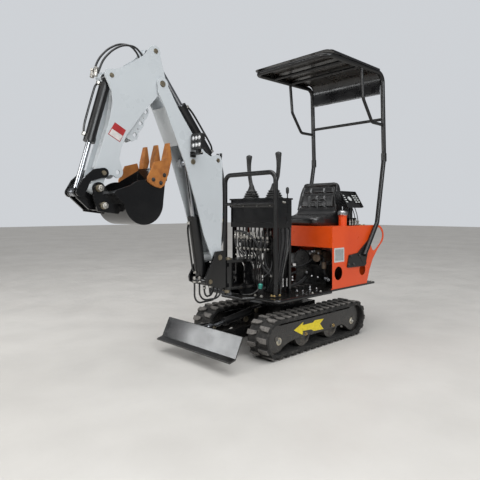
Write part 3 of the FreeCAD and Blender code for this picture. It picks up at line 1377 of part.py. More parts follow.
def make_arm_hoses():
    pieces = []
    for y, drop in ((-19, 0), (19, 14)):
        points = [(x - drop * 0.5, y, z - drop) for x, z in ARM_HOSE[1:]]
        pieces.append(tube_shape([(ARM_HOSE[0][0], y, ARM_HOSE[0][1])] + points, hose_radius))
    return pieces


shape_node("arm_hoses", Part.makeCompound(make_arm_hoses()))

# Bucket and its linkage

BUCKET_OUTLINE = (
    (1219, 1262), (1243, 1051), (1371, 990), (1499, 1040), (1562, 1098), (1552, 1114), (1356, 1182))
BUCKET_INSIDE = (
    (1226, 1262), (1249, 1051), (1371, 996), (1493, 1045), (1550, 1098), (1560, 1140), (1370, 1230), (1260, 1290))


def make_bucket():
    body = new_body("bucket")
    half = s.bucket_half_width
    bowl = (s.bucket_bowl_x, s.bucket_bowl_height, s.bucket_bowl_radius)
    add_box_section(body, half, [(as_size(x), as_size(z)) for x, z in BUCKET_OUTLINE], (bowl,))
    inner_width = half * 2 - s.bucket_plate * 2
    hollow = new_sketch(body, "XZ_Plane")
    add_outline(hollow, [(as_size(x), as_size(z)) for x, z in BUCKET_INSIDE])
    pocket(body, hollow, inner_width, middle=True)
    bowl_inside = new_sketch(body, "XZ_Plane")
    add_circle(bowl_inside, s.bucket_bowl_x, s.bucket_bowl_height, s.bucket_bowl_radius - s.bucket_plate)
    pocket(body, bowl_inside, inner_width, middle=True)
    lip = new_sketch(body, "XZ_Plane")
    add_outline(lip, ((as_size(1229), as_size(1180)), (as_size(1219), as_size(1268)), (as_size(1207), as_size(1268)),
                      (as_size(1217), as_size(1180))))
    pad(body, lip, half * 2, middle=True)
    ears = add_plate(body, s.bucket_ear_y, as_size(14), [(as_size(x), as_size(z)) for x, z in (
        (1490, 1085), (1560, 1105), (1590, 1150), (1640, 1150), (1650, 1080), (1622, 1000), (1500, 985),
        (1480, 1010))], (
        (s.bucket_pin_x, s.bucket_pin_height, as_size(34)), (s.link_pin_x, s.link_pin_height, as_size(32))))
    mirror_sides(body, ears)
    cut_bores(body, ((s.bucket_pin_x, s.bucket_pin_height, as_size(15)), (s.link_pin_x, s.link_pin_height, as_size(14))))
    place(body)


make_bucket()
ear_y = float(s.bucket_ear_y)
shape_node("bucket_pins", Part.makeCompound([
    pin_shape(float(s.bucket_pin_x), float(s.bucket_pin_height), ear_y + 14, 15, 20, 12),
    pin_shape(float(s.link_pin_x), float(s.link_pin_height), ear_y + 14, 14, 20, 12)]))


def make_teeth():
    teeth = []
    for number in (-1, 0, 1):
        y = number * float(s.tooth_spacing)
        adapter = profile(((1213, 1205), (1206.7, 1268.3), (1219.5, 1268.3), (1216, 1312), (1176, 1312), (1200, 1215)),
                          y - 25, y + 25)
        edge_low = Part.makePolygon([Vector(x, side, 1312) for x, side in
                                     ((1216, y - 25), (1216, y + 25), (1174, y + 25), (1174, y - 25), (1216, y - 25))])
        edge_high = Part.makePolygon([Vector(x, side, 1408) for x, side in
                                      ((1195, y - 19), (1195, y + 19), (1185, y + 19), (1185, y - 19), (1195, y - 19))])
        teeth.append(adapter.fuse(Part.makeLoft([edge_low, edge_high], True)))
    return teeth


# x and height round a side cutter
CUTTER = ((1355, 1174), (1355, 1196), (1338, 1226), (1312, 1283), (1227, 1306), (1214, 1271), (1216, 1218),
          (1241, 1153), (1268, 1135), (1308, 1143), (1347, 1164))
bucket_half = float(s.bucket_half_width)
side_cutters = [profile(CUTTER, y0, y0 + 12) for y0 in (bucket_half, -bucket_half - 12)]
shape_node("bucket_cutting_edges", Part.makeCompound(make_teeth() + side_cutters))


def make_rocker():
    rocker_y = float(s.rocker_y)
    plates = []
    for y0 in (rocker_y, -rocker_y - 12):
        x0, z0 = float(s.rocker_pin_x), float(s.rocker_pin_height)
        x1, z1 = float(s.knuckle_x), float(s.knuckle_height)
        plate = profile(((x0 + 6, z0 + 28), (x0 + 60, z0 + 18), (x0 + 125, z0 - 40), (x1 + 24, z1 + 10), (x1 - 20, z1 - 20),
                         (x0 + 80, z0 - 50), (x0 + 10, z0 - 27)), y0, y0 + 12)
        plate = fuse_all([plate,
                          Part.makeCylinder(28, 12, Vector(x0, y0, z0), Vector(0, 1, 0)),
                          Part.makeCylinder(26, 12, Vector(x1, y0, z1), Vector(0, 1, 0))])
        plates.append(plate.cut(Part.makeCylinder(14 + float(s.pin_fit), 14, Vector(x0, y0 - 1, z0), Vector(0, 1, 0))))
    return Part.makeCompound(plates)


shape_node("rocker", make_rocker())


def make_link():
    x0, z0 = float(s.link_pin_x), float(s.link_pin_height)
    x1, z1 = float(s.knuckle_x), float(s.knuckle_height)
    plates = []
    for y0 in (28, -42):
        plate = profile(((x0 - 6, z0 - 26), (x0 + 60, z0 - 20), (x1 + 10, z1 - 30), (x1 - 14, z1 + 24), (x0 - 10, z0 + 26)), y0, y0 + 14)
        plate = fuse_all([plate,
                          Part.makeCylinder(26, 14, Vector(x0, y0, z0), Vector(0, 1, 0)),
                          Part.makeCylinder(26, 14, Vector(x1, y0, z1), Vector(0, 1, 0))])
        plates.append(plate)
    gap = float(s.flat_gap)
    cross = Part.makeCylinder(26, 2 * (ear_y - gap), Vector(x0, -ear_y + gap, z0), Vector(0, 1, 0))
    link = fuse_all(plates + [cross])
    link = link.cut(Part.makeCylinder(14 + float(s.pin_fit), 300, Vector(x0, -150, z0), Vector(0, 1, 0)))
    return link.cut(Part.makeCylinder(14, 300, Vector(x1, -150, z1), Vector(0, 1, 0)))


shape_node("bucket_link", make_link())

# Work lamp



def make_lamp():
    """A square work lamp facing forwards beside the boom: its case with fins, six lens cups and its bent bracket."""
    front = float(s.lamp_x) + 34
    low = float(s.lamp_height) - 50
    side = float(s.lamp_y) - 50
    case = box((front - 30, front), (side, side + 100), (low, low + 100))
    case = round_off(case, 10, (1, 0, 0))
    fins = [box((front - 44, front - 29), (side + 12, side + 88), (low + 14 + 13 * level, low + 18 + 13 * level))
            for level in range(6)]
    cups = [Part.makeCone(10, 13, 10, Vector(front - 9, side + 20 + 30 * column, low + 28 + 44 * row), Vector(1, 0, 0))
            for column in range(3) for row in range(2)]
    case = case.cut(Part.makeCompound(cups))
    shelf = box((front - 40, front - 4), (boom_half, side + 70), (low - 30, low - 24))
    stalk = box((front - 32, front - 8), (side + 38, side + 62), (low - 25, low + 1))
    flange = box((front - 44, front), (boom_half, boom_half + 6), (low - 44, low - 10))
    return fuse_all([case, shelf, stalk, flange] + fins)


shape_node("work_lamp", make_lamp())

# Check, then write each piece

doc.recompute()
for item in doc.Objects:
    if "Invalid" in item.State or "Error" in item.State:
        raise RuntimeError(f"{item.Name} {item.Label}: {item.State}")
for label, item in nodes.items():
    shape = item.Shape
    if shape.isNull() or not shape.isValid() or shape.Volume <= 0:
        raise RuntimeError(f"{label}: no valid solid")

os.makedirs("parts", exist_ok=True)
for label, item in nodes.items():
    item.Shape.exportStep(f"parts/{label}.step")
    box_ = item.Shape.BoundBox
    print(f"{label}: {item.Shape.Volume / 1e6:.3f} litres, {len(item.Shape.Solids)} solids, "
          f"x {box_.XMin:.0f}..{box_.XMax:.0f} y {box_.YMin:.0f}..{box_.YMax:.0f} z {box_.ZMin:.0f}..{box_.ZMax:.0f}")
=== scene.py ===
import math

import bmesh
import bpy
from mathutils import Matrix, Vector, noise


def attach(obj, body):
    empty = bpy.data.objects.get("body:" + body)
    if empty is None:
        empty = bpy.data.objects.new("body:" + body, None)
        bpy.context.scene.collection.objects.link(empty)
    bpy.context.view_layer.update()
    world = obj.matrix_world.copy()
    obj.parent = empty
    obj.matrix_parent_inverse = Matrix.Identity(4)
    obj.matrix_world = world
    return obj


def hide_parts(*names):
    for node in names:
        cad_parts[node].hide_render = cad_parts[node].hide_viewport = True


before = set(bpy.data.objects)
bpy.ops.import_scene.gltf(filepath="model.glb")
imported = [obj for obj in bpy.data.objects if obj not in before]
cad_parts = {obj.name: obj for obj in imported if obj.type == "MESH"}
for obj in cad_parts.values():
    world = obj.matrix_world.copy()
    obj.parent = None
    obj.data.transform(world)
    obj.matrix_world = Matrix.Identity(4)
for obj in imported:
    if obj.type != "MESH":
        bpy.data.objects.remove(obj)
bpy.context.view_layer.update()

scene = bpy.context.scene
AXIS = -0.393  # x of the slewing axis, from which all lengths below are taken, in millimetres


def at(x, y, z):
    """A point of the frame, in metres, from millimetres off the slewing axis."""
    return Vector((x / 1000 + AXIS, y / 1000, z / 1000))


def smooth_step(value, low, high):
    t = min(max((value - low) / (high - low), 0), 1)
    return t * t * (3 - 2 * t)


# Materials

class Finish:
    """A material with short calls for the nodes that most finishes share."""

    def __init__(self, name, roughness=0.5, metallic=0.0, coat=0.0, sheen=0.0, specular=0.5):
        self.material = bpy.data.materials.new(name)
        self.material.use_nodes = True
        self.tree = self.material.node_tree
        self.shader = self.tree.nodes["Principled BSDF"]
        self.set("Roughness", roughness)
        self.set("Metallic", metallic)
        self.set("Coat Weight", coat)
        self.set("Coat Roughness", 0.12)
        self.set("Sheen Weight", sheen)
        self.set("Specular IOR Level", specular)
        self.place = self.tree.nodes.new("ShaderNodeTexCoord").outputs["Object"]
        self.normal = self.tree.nodes.new("ShaderNodeNewGeometry").outputs["Normal"]

    def set(self, socket, value):
        target = self.shader.inputs[socket]
        if isinstance(value, bpy.types.NodeSocket):
            self.tree.links.new(value, target)
        else:
            target.default_value = value

    def node(self, kind, *values, **settings):
        made = self.tree.nodes.new(kind)
        for name, value in settings.items():
            setattr(made, name, value)
        for index, value in enumerate(values):
            if value is None:
                continue
            if isinstance(value, bpy.types.NodeSocket):
                self.tree.links.new(value, made.inputs[index])
            else:
                made.inputs[index].default_value = value
        return made

    def math(self, operation, a, b=None, c=None):
        return self.node("ShaderNodeMath", a, b, c, operation=operation).outputs[0]

    def stretched(self, x, y, z):
        return self.node("ShaderNodeMapping", self.place, None, None, (x, y, z)).outputs[0]

    def noise(self, scale, detail=3.0, rough=0.55, place=None):
        made = self.tree.nodes.new("ShaderNodeTexNoise")
        self.tree.links.new(place or self.place, made.inputs["Vector"])
        made.inputs["Scale"].default_value = scale
        made.inputs["Detail"].default_value = detail
        made.inputs["Roughness"].default_value = rough
        return made.outputs["Fac"]

    def cells(self, scale, feature="F1", place=None):
        made = self.tree.nodes.new("ShaderNodeTexVoronoi")
        made.feature = feature
        self.tree.links.new(place or self.place, made.inputs["Vector"])
        made.inputs["Scale"].default_value = scale
        return made.outputs["Distance"]

    def fit(self, value, low, high, out_low=0.0, out_high=1.0):
        made = self.tree.nodes.new("ShaderNodeMapRange")
        made.interpolation_type = "SMOOTHSTEP"
        self.tree.links.new(value, made.inputs["Value"])
        for name, number in (("From Min", low), ("From Max", high), ("To Min", out_low), ("To Max", out_high)):
            made.inputs[name].default_value = number
        return made.outputs["Result"]

    def mix(self, share, a, b):
        made = self.tree.nodes.new("ShaderNodeMix")
        made.data_type = "RGBA"
        for index, value in ((0, share), (6, a), (7, b)):
            if isinstance(value, bpy.types.NodeSocket):
                self.tree.links.new(value, made.inputs[index])
            elif index:
                made.inputs[index].default_value = (*value, 1)
            else:
                made.inputs[index].default_value = value
        return made.outputs[2]

    def axis(self, name):
        return self.node("ShaderNodeSeparateXYZ", self.place).outputs[name]

    def up(self):
        """How far the surface faces upwards, 0 to 1."""
        return self.fit(self.node("ShaderNodeSeparateXYZ", self.normal).outputs["Z"], 0.35, 0.95)

    def within(self, name, low, high, soft=0.002):
        """1 between two places along an axis of the frame, in metres, and 0 outside."""
        spot = self.axis(name)
        return self.math("MULTIPLY", self.fit(spot, low - soft, low + soft), self.fit(spot, high + soft, high - soft))

    def edge(self, radius, samples=4):
        """A mask of the outer edges, and the normal rounded over them."""
        bevel = self.tree.nodes.new("ShaderNodeBevel")
        bevel.samples = samples
        bevel.inputs["Radius"].default_value = radius
        dot = self.tree.nodes.new("ShaderNodeVectorMath")
        dot.operation = "DOT_PRODUCT"
        self.tree.links.new(bevel.outputs[0], dot.inputs[0])
        self.tree.links.new(self.normal, dot.inputs[1])
        return self.fit(dot.outputs["Value"], 0.97, 0.80), bevel.outputs[0]

    def bump(self, height, strength, distance=0.001, under=None):
        made = self.tree.nodes.new("ShaderNodeBump")
        made.inputs["Strength"].default_value = strength
        made.inputs["Distance"].default_value = distance
        self.tree.links.new(height, made.inputs["Height"])
        if under is not None:
            self.tree.links.new(under, made.inputs["Normal"])
        self.tree.links.new(made.outputs[0], self.shader.inputs["Normal"])
        return made.outputs[0]


DUST = (0.33, 0.29, 0.24)


def paint(name, base, shade, roughness, coat, dust, chip, peel=0.06, rounding=0.0016, low_dust=0.0, inside=None):
    """Sprayed paint over sheet and plate: cloudy tone, fine scuffs, worn edges, dust on what faces up or lies low, and
    painted shade darkening the inside of a shell where inside is set.
    """
    f = Finish(name, roughness, coat=coat)
    cloud = f.fit(f.noise(2.6, 4), 0.35, 0.68)
    colour = f.mix(cloud, base, shade)
    scuffs = f.math("MULTIPLY", f.fit(f.noise(46, 6, 0.7, f.stretched(1, 1, 0.16)), 0.63, 0.74),
                    f.fit(f.noise(5, 2), 0.48, 0.62))
    colour = f.mix(f.math("MULTIPLY", scuffs, 0.35), colour, tuple(min(1, c * 1.5 + 0.004) for c in base))
    rounded = None
    if rounding:
        edge, rounded = f.edge(rounding)
        worn = f.math("MULTIPLY", edge, f.fit(f.noise(70, 5, 0.65), 0.5, 0.66))
        colour = f.mix(f.math("MULTIPLY", worn, 0.4), colour, chip)
    settled = f.math("MULTIPLY", f.math("MULTIPLY", f.up(), f.fit(f.noise(14, 5), 0.3, 0.7, 0.4, 1)), dust)
    if low_dust:
        near_floor = f.math("MULTIPLY", f.fit(f.axis("Z"), 0.42, 0.02), f.fit(f.noise(20, 6, 0.7), 0.42, 0.72, 0.15, 1))
        settled = f.math("MAXIMUM", settled, f.math("MULTIPLY", near_floor, low_dust))
    colour = f.mix(settled, colour, DUST)
    # painted shade: where inside is set, the shell's inside within its half width, below its top and ahead of its rear
    # end, is darkened to near black as if in shadow
    if inside:
        half, top, rear = inside
        painted_shade = f.math("MULTIPLY", f.within("Y", -half, half, 0.001), f.fit(f.axis("Z"), top + 0.002, top))
        painted_shade = f.math("MULTIPLY", painted_shade, f.fit(f.axis("X"), rear - 0.04, rear))
        colour = f.mix(painted_shade, colour, f.mix(f.fit(f.noise(30, 5), 0.35, 0.7), (0.009, 0.008, 0.008), (0.022, 0.019, 0.017)))
    f.set("Base Color", colour)
    f.set("Roughness", f.math("ADD", f.math("MULTIPLY", f.math("MAXIMUM", settled, scuffs), 0.3),
                              f.fit(f.noise(8, 3), 0.3, 0.7, roughness - 0.05, roughness + 0.07)))
    f.bump(f.noise(520, 2), peel, 0.0006, rounded)
    return f.material


def metal(name, base, shade, roughness, metallic=1.0, grime=0.4, brushed=0.0):
    """Plated or bare metal with stains spread at random and a fine grain."""
    f = Finish(name, roughness, metallic)
    colour = f.mix(f.fit(f.noise(34, 4), 0.35, 0.7), base, shade)
    stain = f.math("MULTIPLY", f.fit(f.noise(90, 5, 0.7), 0.5, 0.75), grime)
    f.set("Base Color", f.mix(stain, colour, (0.06, 0.05, 0.04)))
    f.set("Roughness", f.fit(f.noise(120, 3), 0.3, 0.7, roughness - 0.06, roughness + 0.12))
    grain = f.noise(900, 2, 0.5, f.stretched(1, 1, 0.08 if brushed else 1))
    f.bump(grain, 0.05 + brushed, 0.0003, f.edge(0.0008)[1])
    return f.material


def rod_chrome():
    f = Finish("chromed_rod", 0.2, 1.0)
    f.set("Base Color", f.mix(f.fit(f.noise(12, 3), 0.4, 0.7), (0.36, 0.37, 0.39), (0.30, 0.31, 0.33)))
    f.set("Roughness", f.fit(f.noise(60, 3, 0.5, f.stretched(1, 1, 0.1)), 0.35, 0.75, 0.16, 0.27))
    f.bump(f.noise(900, 2), 0.02, 0.0001)
    return f.material


TRACK = {"half_run": 0.465, "height": 0.140, "belt": 0.122, "tips": 0.1395}


def track_rubber():
    """Track rubber: black belt, dusty walls, and grey lug faces where they meet the ground."""
    f = Finish("track_rubber", 0.8, specular=0.3)
    along = f.math("MAXIMUM", f.math("SUBTRACT", f.math("ABSOLUTE", f.math("SUBTRACT", f.axis("X"), AXIS)),
                                     TRACK["half_run"]), 0.0)
    rise = f.math("SUBTRACT", f.axis("Z"), TRACK["height"])
    reach = f.math("SQRT", f.math("ADD", f.math("MULTIPLY", along, along), f.math("MULTIPLY", rise, rise)))
    tips = f.math("MULTIPLY", f.fit(reach, TRACK["belt"] + 0.008, TRACK["tips"] - 0.002),
                  f.fit(f.noise(60, 5, 0.7), 0.3, 0.6, 0.35, 1))
    colour = f.mix(f.fit(f.noise(18, 5), 0.3, 0.7), (0.011, 0.011, 0.011), (0.026, 0.025, 0.024))
    dirt = f.math("MULTIPLY", f.fit(f.noise(38, 6, 0.75), 0.5, 0.72), 0.35)
    colour = f.mix(dirt, colour, (0.16, 0.145, 0.125))
    edge, rounded = f.edge(0.003)
    colour = f.mix(f.math("MULTIPLY", edge, 0.3), colour, (0.14, 0.13, 0.12))
    f.set("Base Color", f.mix(f.math("MULTIPLY", tips, 0.62), colour, (0.23, 0.215, 0.20)))
    f.set("Roughness", f.fit(f.noise(50, 3), 0.3, 0.7, 0.58, 0.9))
    pitted = f.math("ADD", f.noise(260, 5, 0.7), f.math("MULTIPLY", f.cells(420), 0.5))
    f.bump(pitted, 0.35, 0.0012, rounded)
    return f.material


def rubber(name, base, roughness, braid=0.0, sheen=0.1):
    """Smooth black rubber, with a stronger grain bump where braid is set."""
    f = Finish(name, roughness, sheen=sheen, specular=0.45)
    f.set("Base Color", f.mix(f.fit(f.noise(30, 4), 0.35, 0.7), base, tuple(c * 2.2 + 0.004 for c in base)))
    f.set("Roughness", f.fit(f.noise(70, 3), 0.3, 0.7, roughness - 0.08, roughness + 0.12))
    f.bump(f.noise(620, 4, 0.6), 0.12 + braid, 0.0005)
    return f.material


def vinyl():
    """Seat cover: soft black vinyl with a pebbled leather grain and a worn sheen."""
    f = Finish("seat_vinyl", 0.4, coat=0.4, sheen=0.03, specular=0.5)
    colour = f.mix(f.fit(f.noise(9, 4), 0.35, 0.7), (0.0045, 0.0045, 0.005), (0.009, 0.009, 0.0095))
    dusty = f.math("MULTIPLY", f.math("MULTIPLY", f.up(), f.fit(f.noise(24, 5, 0.7), 0.4, 0.7)), 0.05)
    f.set("Base Color", f.mix(dusty, colour, DUST))
    f.set("Roughness", f.fit(f.noise(16, 3), 0.3, 0.7, 0.30, 0.48))
    grain = f.math("ADD", f.fit(f.cells(520), 0.0, 0.55), f.math("MULTIPLY", f.noise(900, 3), 0.4))
    f.bump(grain, 0.16, 0.0004)
    return f.material


def engine_iron():
    """Engine: dark castings, a grey alloy crankcase, and a heat-browned silencer."""
    f = Finish("engine_iron", 0.5, 0.35)
    dark = f.mix(f.fit(f.noise(26, 5), 0.35, 0.7), (0.016, 0.016, 0.017), (0.045, 0.043, 0.04))
    alloy = f.mix(f.fit(f.noise(60, 5), 0.35, 0.7), (0.20, 0.20, 0.20), (0.10, 0.10, 0.10))
    brown = f.mix(f.fit(f.noise(40, 6, 0.7), 0.35, 0.7), (0.11, 0.075, 0.05), (0.045, 0.03, 0.022))
    fins = f.within("Z", 0.562, 0.668)
    silencer = f.math("MULTIPLY", f.within("X", AXIS - 0.380, AXIS - 0.284), f.within("Z", 0.592, 0.690))
    silencer = f.math("MULTIPLY", silencer, f.fit(f.axis("Y"), 0.052, 0.058))
    colour = f.mix(f.math("MULTIPLY", fins, 0.8), dark, alloy)
    colour = f.mix(silencer, colour, brown)
    colour = f.mix(f.math("MULTIPLY", f.up(), f.fit(f.noise(30, 5), 0.4, 0.7, 0.05, 0.3)), colour, DUST)
    f.set("Base Color", colour)
    f.set("Roughness", f.fit(f.noise(60, 4), 0.3, 0.7, 0.38, 0.68))
    f.bump(f.noise(340, 5, 0.7), 0.25, 0.0008, f.edge(0.0015)[1])
    return f.material


def ochre():
    """Bucket teeth and side cutters: matt ochre paint, scraped to rust and steel at the points."""
    f = Finish("ochre_iron", 0.6, specular=0.35)
    colour = f.mix(f.fit(f.noise(22, 5), 0.35, 0.7), (0.36, 0.135, 0.028), (0.25, 0.085, 0.018))
    edge, rounded = f.edge(0.003)
    scraped = f.math("MULTIPLY", f.math("MAXIMUM", f.math("MULTIPLY", edge, 0.9), f.fit(f.noise(26, 6, 0.75), 0.62, 0.7)),
                     f.fit(f.noise(60, 4), 0.35, 0.6))
    f.set("Base Color", f.mix(f.math("MULTIPLY", scraped, 0.6), colour, (0.15, 0.075, 0.035)))
    f.set("Roughness", f.fit(f.noise(80, 4), 0.3, 0.7, 0.48, 0.75))
    f.bump(f.noise(300, 5, 0.7), 0.3, 0.001, rounded)
    return f.material


def roof_sheet():
    """Roof: black sheet with a soft sheen, dusty above and brownish where its underside faces the floor."""
    f = Finish("roof_sheet", 0.34, coat=0.3)
    colour = f.mix(f.fit(f.noise(5, 4), 0.35, 0.7), (0.0045, 0.0046, 0.0055), (0.009, 0.009, 0.0105))
    under = f.fit(f.node("ShaderNodeSeparateXYZ", f.normal).outputs["Z"], -0.5, -0.95)
    colour = f.mix(f.math("MULTIPLY", under, f.fit(f.noise(7, 5), 0.3, 0.7, 0.4, 0.8)), colour, (0.022, 0.018, 0.013))
    f.set("Base Color", f.mix(f.math("MULTIPLY", f.up(), f.fit(f.noise(9, 5), 0.3, 0.7, 0.03, 0.10)), colour, DUST))
    f.set("Roughness", f.fit(f.noise(12, 3), 0.3, 0.7, 0.22, 0.36))
    f.bump(f.noise(420, 3), 0.12, 0.0006, f.edge(0.0012)[1])
    return f.material


def flat_print(name, base, roughness, marks=0.0):
    """A printed plate or decal film, slightly scuffed, with the faint grey of a blank panel where marks is set."""
    f = Finish(name, roughness, coat=0.2)
    colour = f.mix(f.fit(f.noise(40, 4), 0.4, 0.7), base, tuple(c * 0.82 for c in base))
    scratch = f.fit(f.noise(160, 6, 0.75, f.stretched(1, 1, 0.3)), 0.64, 0.72)
    f.set("Base Color", f.mix(f.math("MULTIPLY", scratch, 0.25 + marks), colour, tuple(c * 0.5 for c in base)))
    f.set("Roughness", f.fit(f.noise(60, 3), 0.3, 0.7, roughness - 0.05, roughness + 0.12))
    f.bump(f.noise(300, 3), 0.08, 0.0003)
    return f.material


def lens():
    f = Finish("lamp_lens", 0.12, coat=0.5)
    f.set("Base Color", f.mix(f.fit(f.noise(120, 2), 0.4, 0.6), (0.92, 0.93, 0.94), (0.78, 0.80, 0.82)))
    f.set("Roughness", f.fit(f.noise(90, 2), 0.3, 0.7, 0.06, 0.16))
    f.bump(f.cells(240), 0.3, 0.001)
    return f.material


def floor_concrete():
    f = Finish("studio_floor", 0.55)
    colour = f.mix(f.fit(f.noise(0.9, 6, 0.6), 0.3, 0.7), (0.53, 0.515, 0.49), (0.48, 0.465, 0.44))
    f.set("Base Color", f.mix(f.fit(f.noise(14, 6, 0.7), 0.5, 0.8, 0, 0.2), colour, (0.44, 0.42, 0.40)))
    f.set("Roughness", f.fit(f.noise(3, 4), 0.3, 0.7, 0.42, 0.62))
    f.bump(f.noise(90, 5), 0.08, 0.002)
    return f.material


BLACK = (0.0034, 0.0034, 0.0037)
M = {
    "black": paint("black_paint", BLACK, (0.0055, 0.0055, 0.0059), 0.14, 0.15, 0.03, (0.016, 0.015, 0.014), 0.04),
    "tube_black": paint("black_paint_tubes", BLACK, (0.005, 0.005, 0.0054), 0.32, 0.0, 0.02, BLACK, 0.01, 0.0),
    "blade_black": paint("black_paint_blade", BLACK, (0.006, 0.006, 0.0066), 0.17, 0.6, 0.03, (0.03, 0.028, 0.026), 0.03,
                         low_dust=0.03),
    "low_black": paint("black_paint_low", BLACK, (0.010, 0.0098, 0.0095), 0.24, 0.3, 0.06, (0.022, 0.021, 0.02), 0.05,
                       low_dust=0.07),
    "white": paint("pale_paint", (0.49, 0.52, 0.54), (0.47, 0.498, 0.518), 0.3, 0.25, 0.06, (0.40, 0.42, 0.43), 0.04),
    # the orange shell's inside is darkened with painted shade
    "orange": paint("orange_paint", (0.70, 0.072, 0.006), (0.62, 0.056, 0.005), 0.32, 0.22, 0.08, (0.16, 0.05, 0.02), 0.05,
                    inside=(0.3545, 0.7175, -1.02)),
    "grey": paint("grey_iron", (0.022, 0.022, 0.023), (0.042, 0.040, 0.038), 0.5, 0.0, 0.3, (0.12, 0.115, 0.11), low_dust=0.4),
    "plastic": paint("black_plastic", (0.008, 0.008, 0.008), (0.013, 0.013, 0.013), 0.38, 0.0, 0.08, (0.04, 0.04, 0.04), 0.2),
    "zinc": metal("zinc_steel", (0.52, 0.51, 0.48), (0.36, 0.34, 0.31), 0.34),
    "pin": metal("pin_zinc", (0.30, 0.26, 0.19), (0.20, 0.165, 0.11), 0.36, 0.9, 0.5),
    "gold": metal("yellow_zinc", (0.52, 0.40, 0.20), (0.40, 0.28, 0.12), 0.36),
    "cream": metal("cream_zinc", (0.56, 0.52, 0.41), (0.42, 0.37, 0.28), 0.42, 0.5, 0.3),
    "steel": metal("bright_steel", (0.55, 0.55, 0.56), (0.34, 0.34, 0.35), 0.25, 1.0, 0.3, 0.06),
    "dark_steel": metal("dark_steel", (0.045, 0.045, 0.046), (0.075, 0.072, 0.07), 0.38, 0.7, 0.4),
    "silencer": metal("silencer_brown", (0.20, 0.15, 0.11), (0.11, 0.075, 0.05), 0.5, 0.5, 0.5),
    "chrome": rod_chrome(),
    "track": track_rubber(),
    "hose": rubber("hose_rubber", (0.0055, 0.0055, 0.0060), 0.38, 0.1),
    "boot": rubber("boot_rubber", (0.007, 0.007, 0.007), 0.45),
    "vinyl": vinyl(),
    "engine": engine_iron(),
    "ochre": ochre(),
    "roof": roof_sheet(),
    "yellow": flat_print("arrow_film", (0.74, 0.58, 0.013), 0.38),
    "label": flat_print("blank_label", (0.52, 0.54, 0.53), 0.42, 0.2),
    "label_grey": flat_print("blank_label_panel", (0.30, 0.32, 0.32), 0.42, 0.2),
    "sign": flat_print("blank_sign", (0.60, 0.57, 0.55), 0.4, 0.1),
    "red": flat_print("red_film", (0.34, 0.012, 0.014), 0.45),
    "teal": flat_print("teal_cap", (0.02, 0.20, 0.16), 0.35),
    "grey_cable": rubber("grey_cable", (0.045, 0.045, 0.044), 0.5),
    "lens": lens(),
    "floor": floor_concrete(),
}

LOOKS = {
    "black": ("deck", "console", "swing_bracket", "bucket", "rocker", "bucket_link", "instrument_box"),
    "tube_black": ("guard_hoop", "canopy_frame", "boom_ram_barrel", "arm_ram_barrel", "bucket_ram_barrel",
                   "swing_ram_barrel", "blade_ram_barrel"),
    "blade_black": ("dozer_blade",),
    "low_black": ("track_frame",),
    "white": ("boom", "arm"),
    "orange": ("body_shell",),
    "grey": ("track_wheels",),
    "plastic": ("work_lamp",),
    "steel": ("filler_cap",),
    "pin": ("frame_pins", "deck_pins", "boom_pins", "arm_pins", "bucket_pins", "bracket_pins", "blade_pins"),
    "chrome": ("boom_ram_rod", "arm_ram_rod", "bucket_ram_rod", "blade_ram_rod", "swing_ram_rod"),
    "track": ("track_left", "track_right"),
    "hose": ("bracket_hoses", "boom_hoses", "arm_hoses"),
    "boot": ("joysticks",),
    "dark_steel": ("valve_bank",),
    "engine": ("engine",),
    "ochre": ("bucket_cutting_edges",),
    "roof": ("canopy_roof",),
    "vinyl": ("seat",),
}
for look, names in LOOKS.items():
    for node_name in names:
        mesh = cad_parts[node_name].data
        mesh.materials.clear()
        mesh.materials.append(M[look])


# Making pieces

def piece(name, builder, look, body, smooth=35, replaced=(), bevel=0.0, levels=0):
    """Makes an object of a bmesh, with its look and the body it rides."""
    mesh = bpy.data.meshes.new(name)
    bmesh.ops.recalc_face_normals(builder, faces=builder.faces)
    builder.normal_update()
    builder.to_mesh(mesh)
    builder.free()
    made = bpy.data.objects.new(name, mesh)
    scene.collection.objects.link(made)
    mesh.materials.append(M[look])
    if bevel:
        cut = made.modifiers.new("edges", "BEVEL")
        cut.width = bevel
        cut.segments = 2
        cut.limit_method = "ANGLE"
    if levels:
        rounder = made.modifiers.new("round", "SUBSURF")
        rounder.levels = rounder.render_levels = levels
    for face in mesh.polygons:
        face.use_smooth = True
    if smooth and not levels:
        mesh.set_sharp_from_angle(angle=math.radians(smooth))
    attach(made, body)
    if replaced:
        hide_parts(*replaced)
    return made


def turn_to(direction):
    return Vector((0, 0, 1)).rotation_difference(Vector(direction)).to_matrix().to_4x4()


def add_lathe(builder, rows, spot, direction, sides=24, twist=0.0):
    """Adds a turned form of (radius, height) rows in millimetres, from spot along direction."""
    matrix = Matrix.Translation(spot) @ turn_to(direction)
    rings = []
    for radius, height in rows:
        if radius <= 0:
            rings.append([builder.verts.new(matrix @ Vector((0, 0, height / 1000)))])
            continue
        rings.append([builder.verts.new(matrix @ Vector((
            radius / 1000 * math.cos(twist + math.tau * k / sides),
            radius / 1000 * math.sin(twist + math.tau * k / sides), height / 1000))) for k in range(sides)])
    for lower, upper in zip(rings, rings[1:]):
        for k in range(sides):
            after = (k + 1) % sides
            corners = []
            for vertex in (lower[k % len(lower)], lower[after % len(lower)], upper[after % len(upper)],
                           upper[k % len(upper)]):
                if vertex not in corners:
                    corners.append(vertex)
            if len(corners) > 2:
                builder.faces.new(corners)
    for ring, flip in ((rings[0], True), (rings[-1], False)):
        if len(ring) > 2:
            builder.faces.new(list(reversed(ring)) if flip else ring)


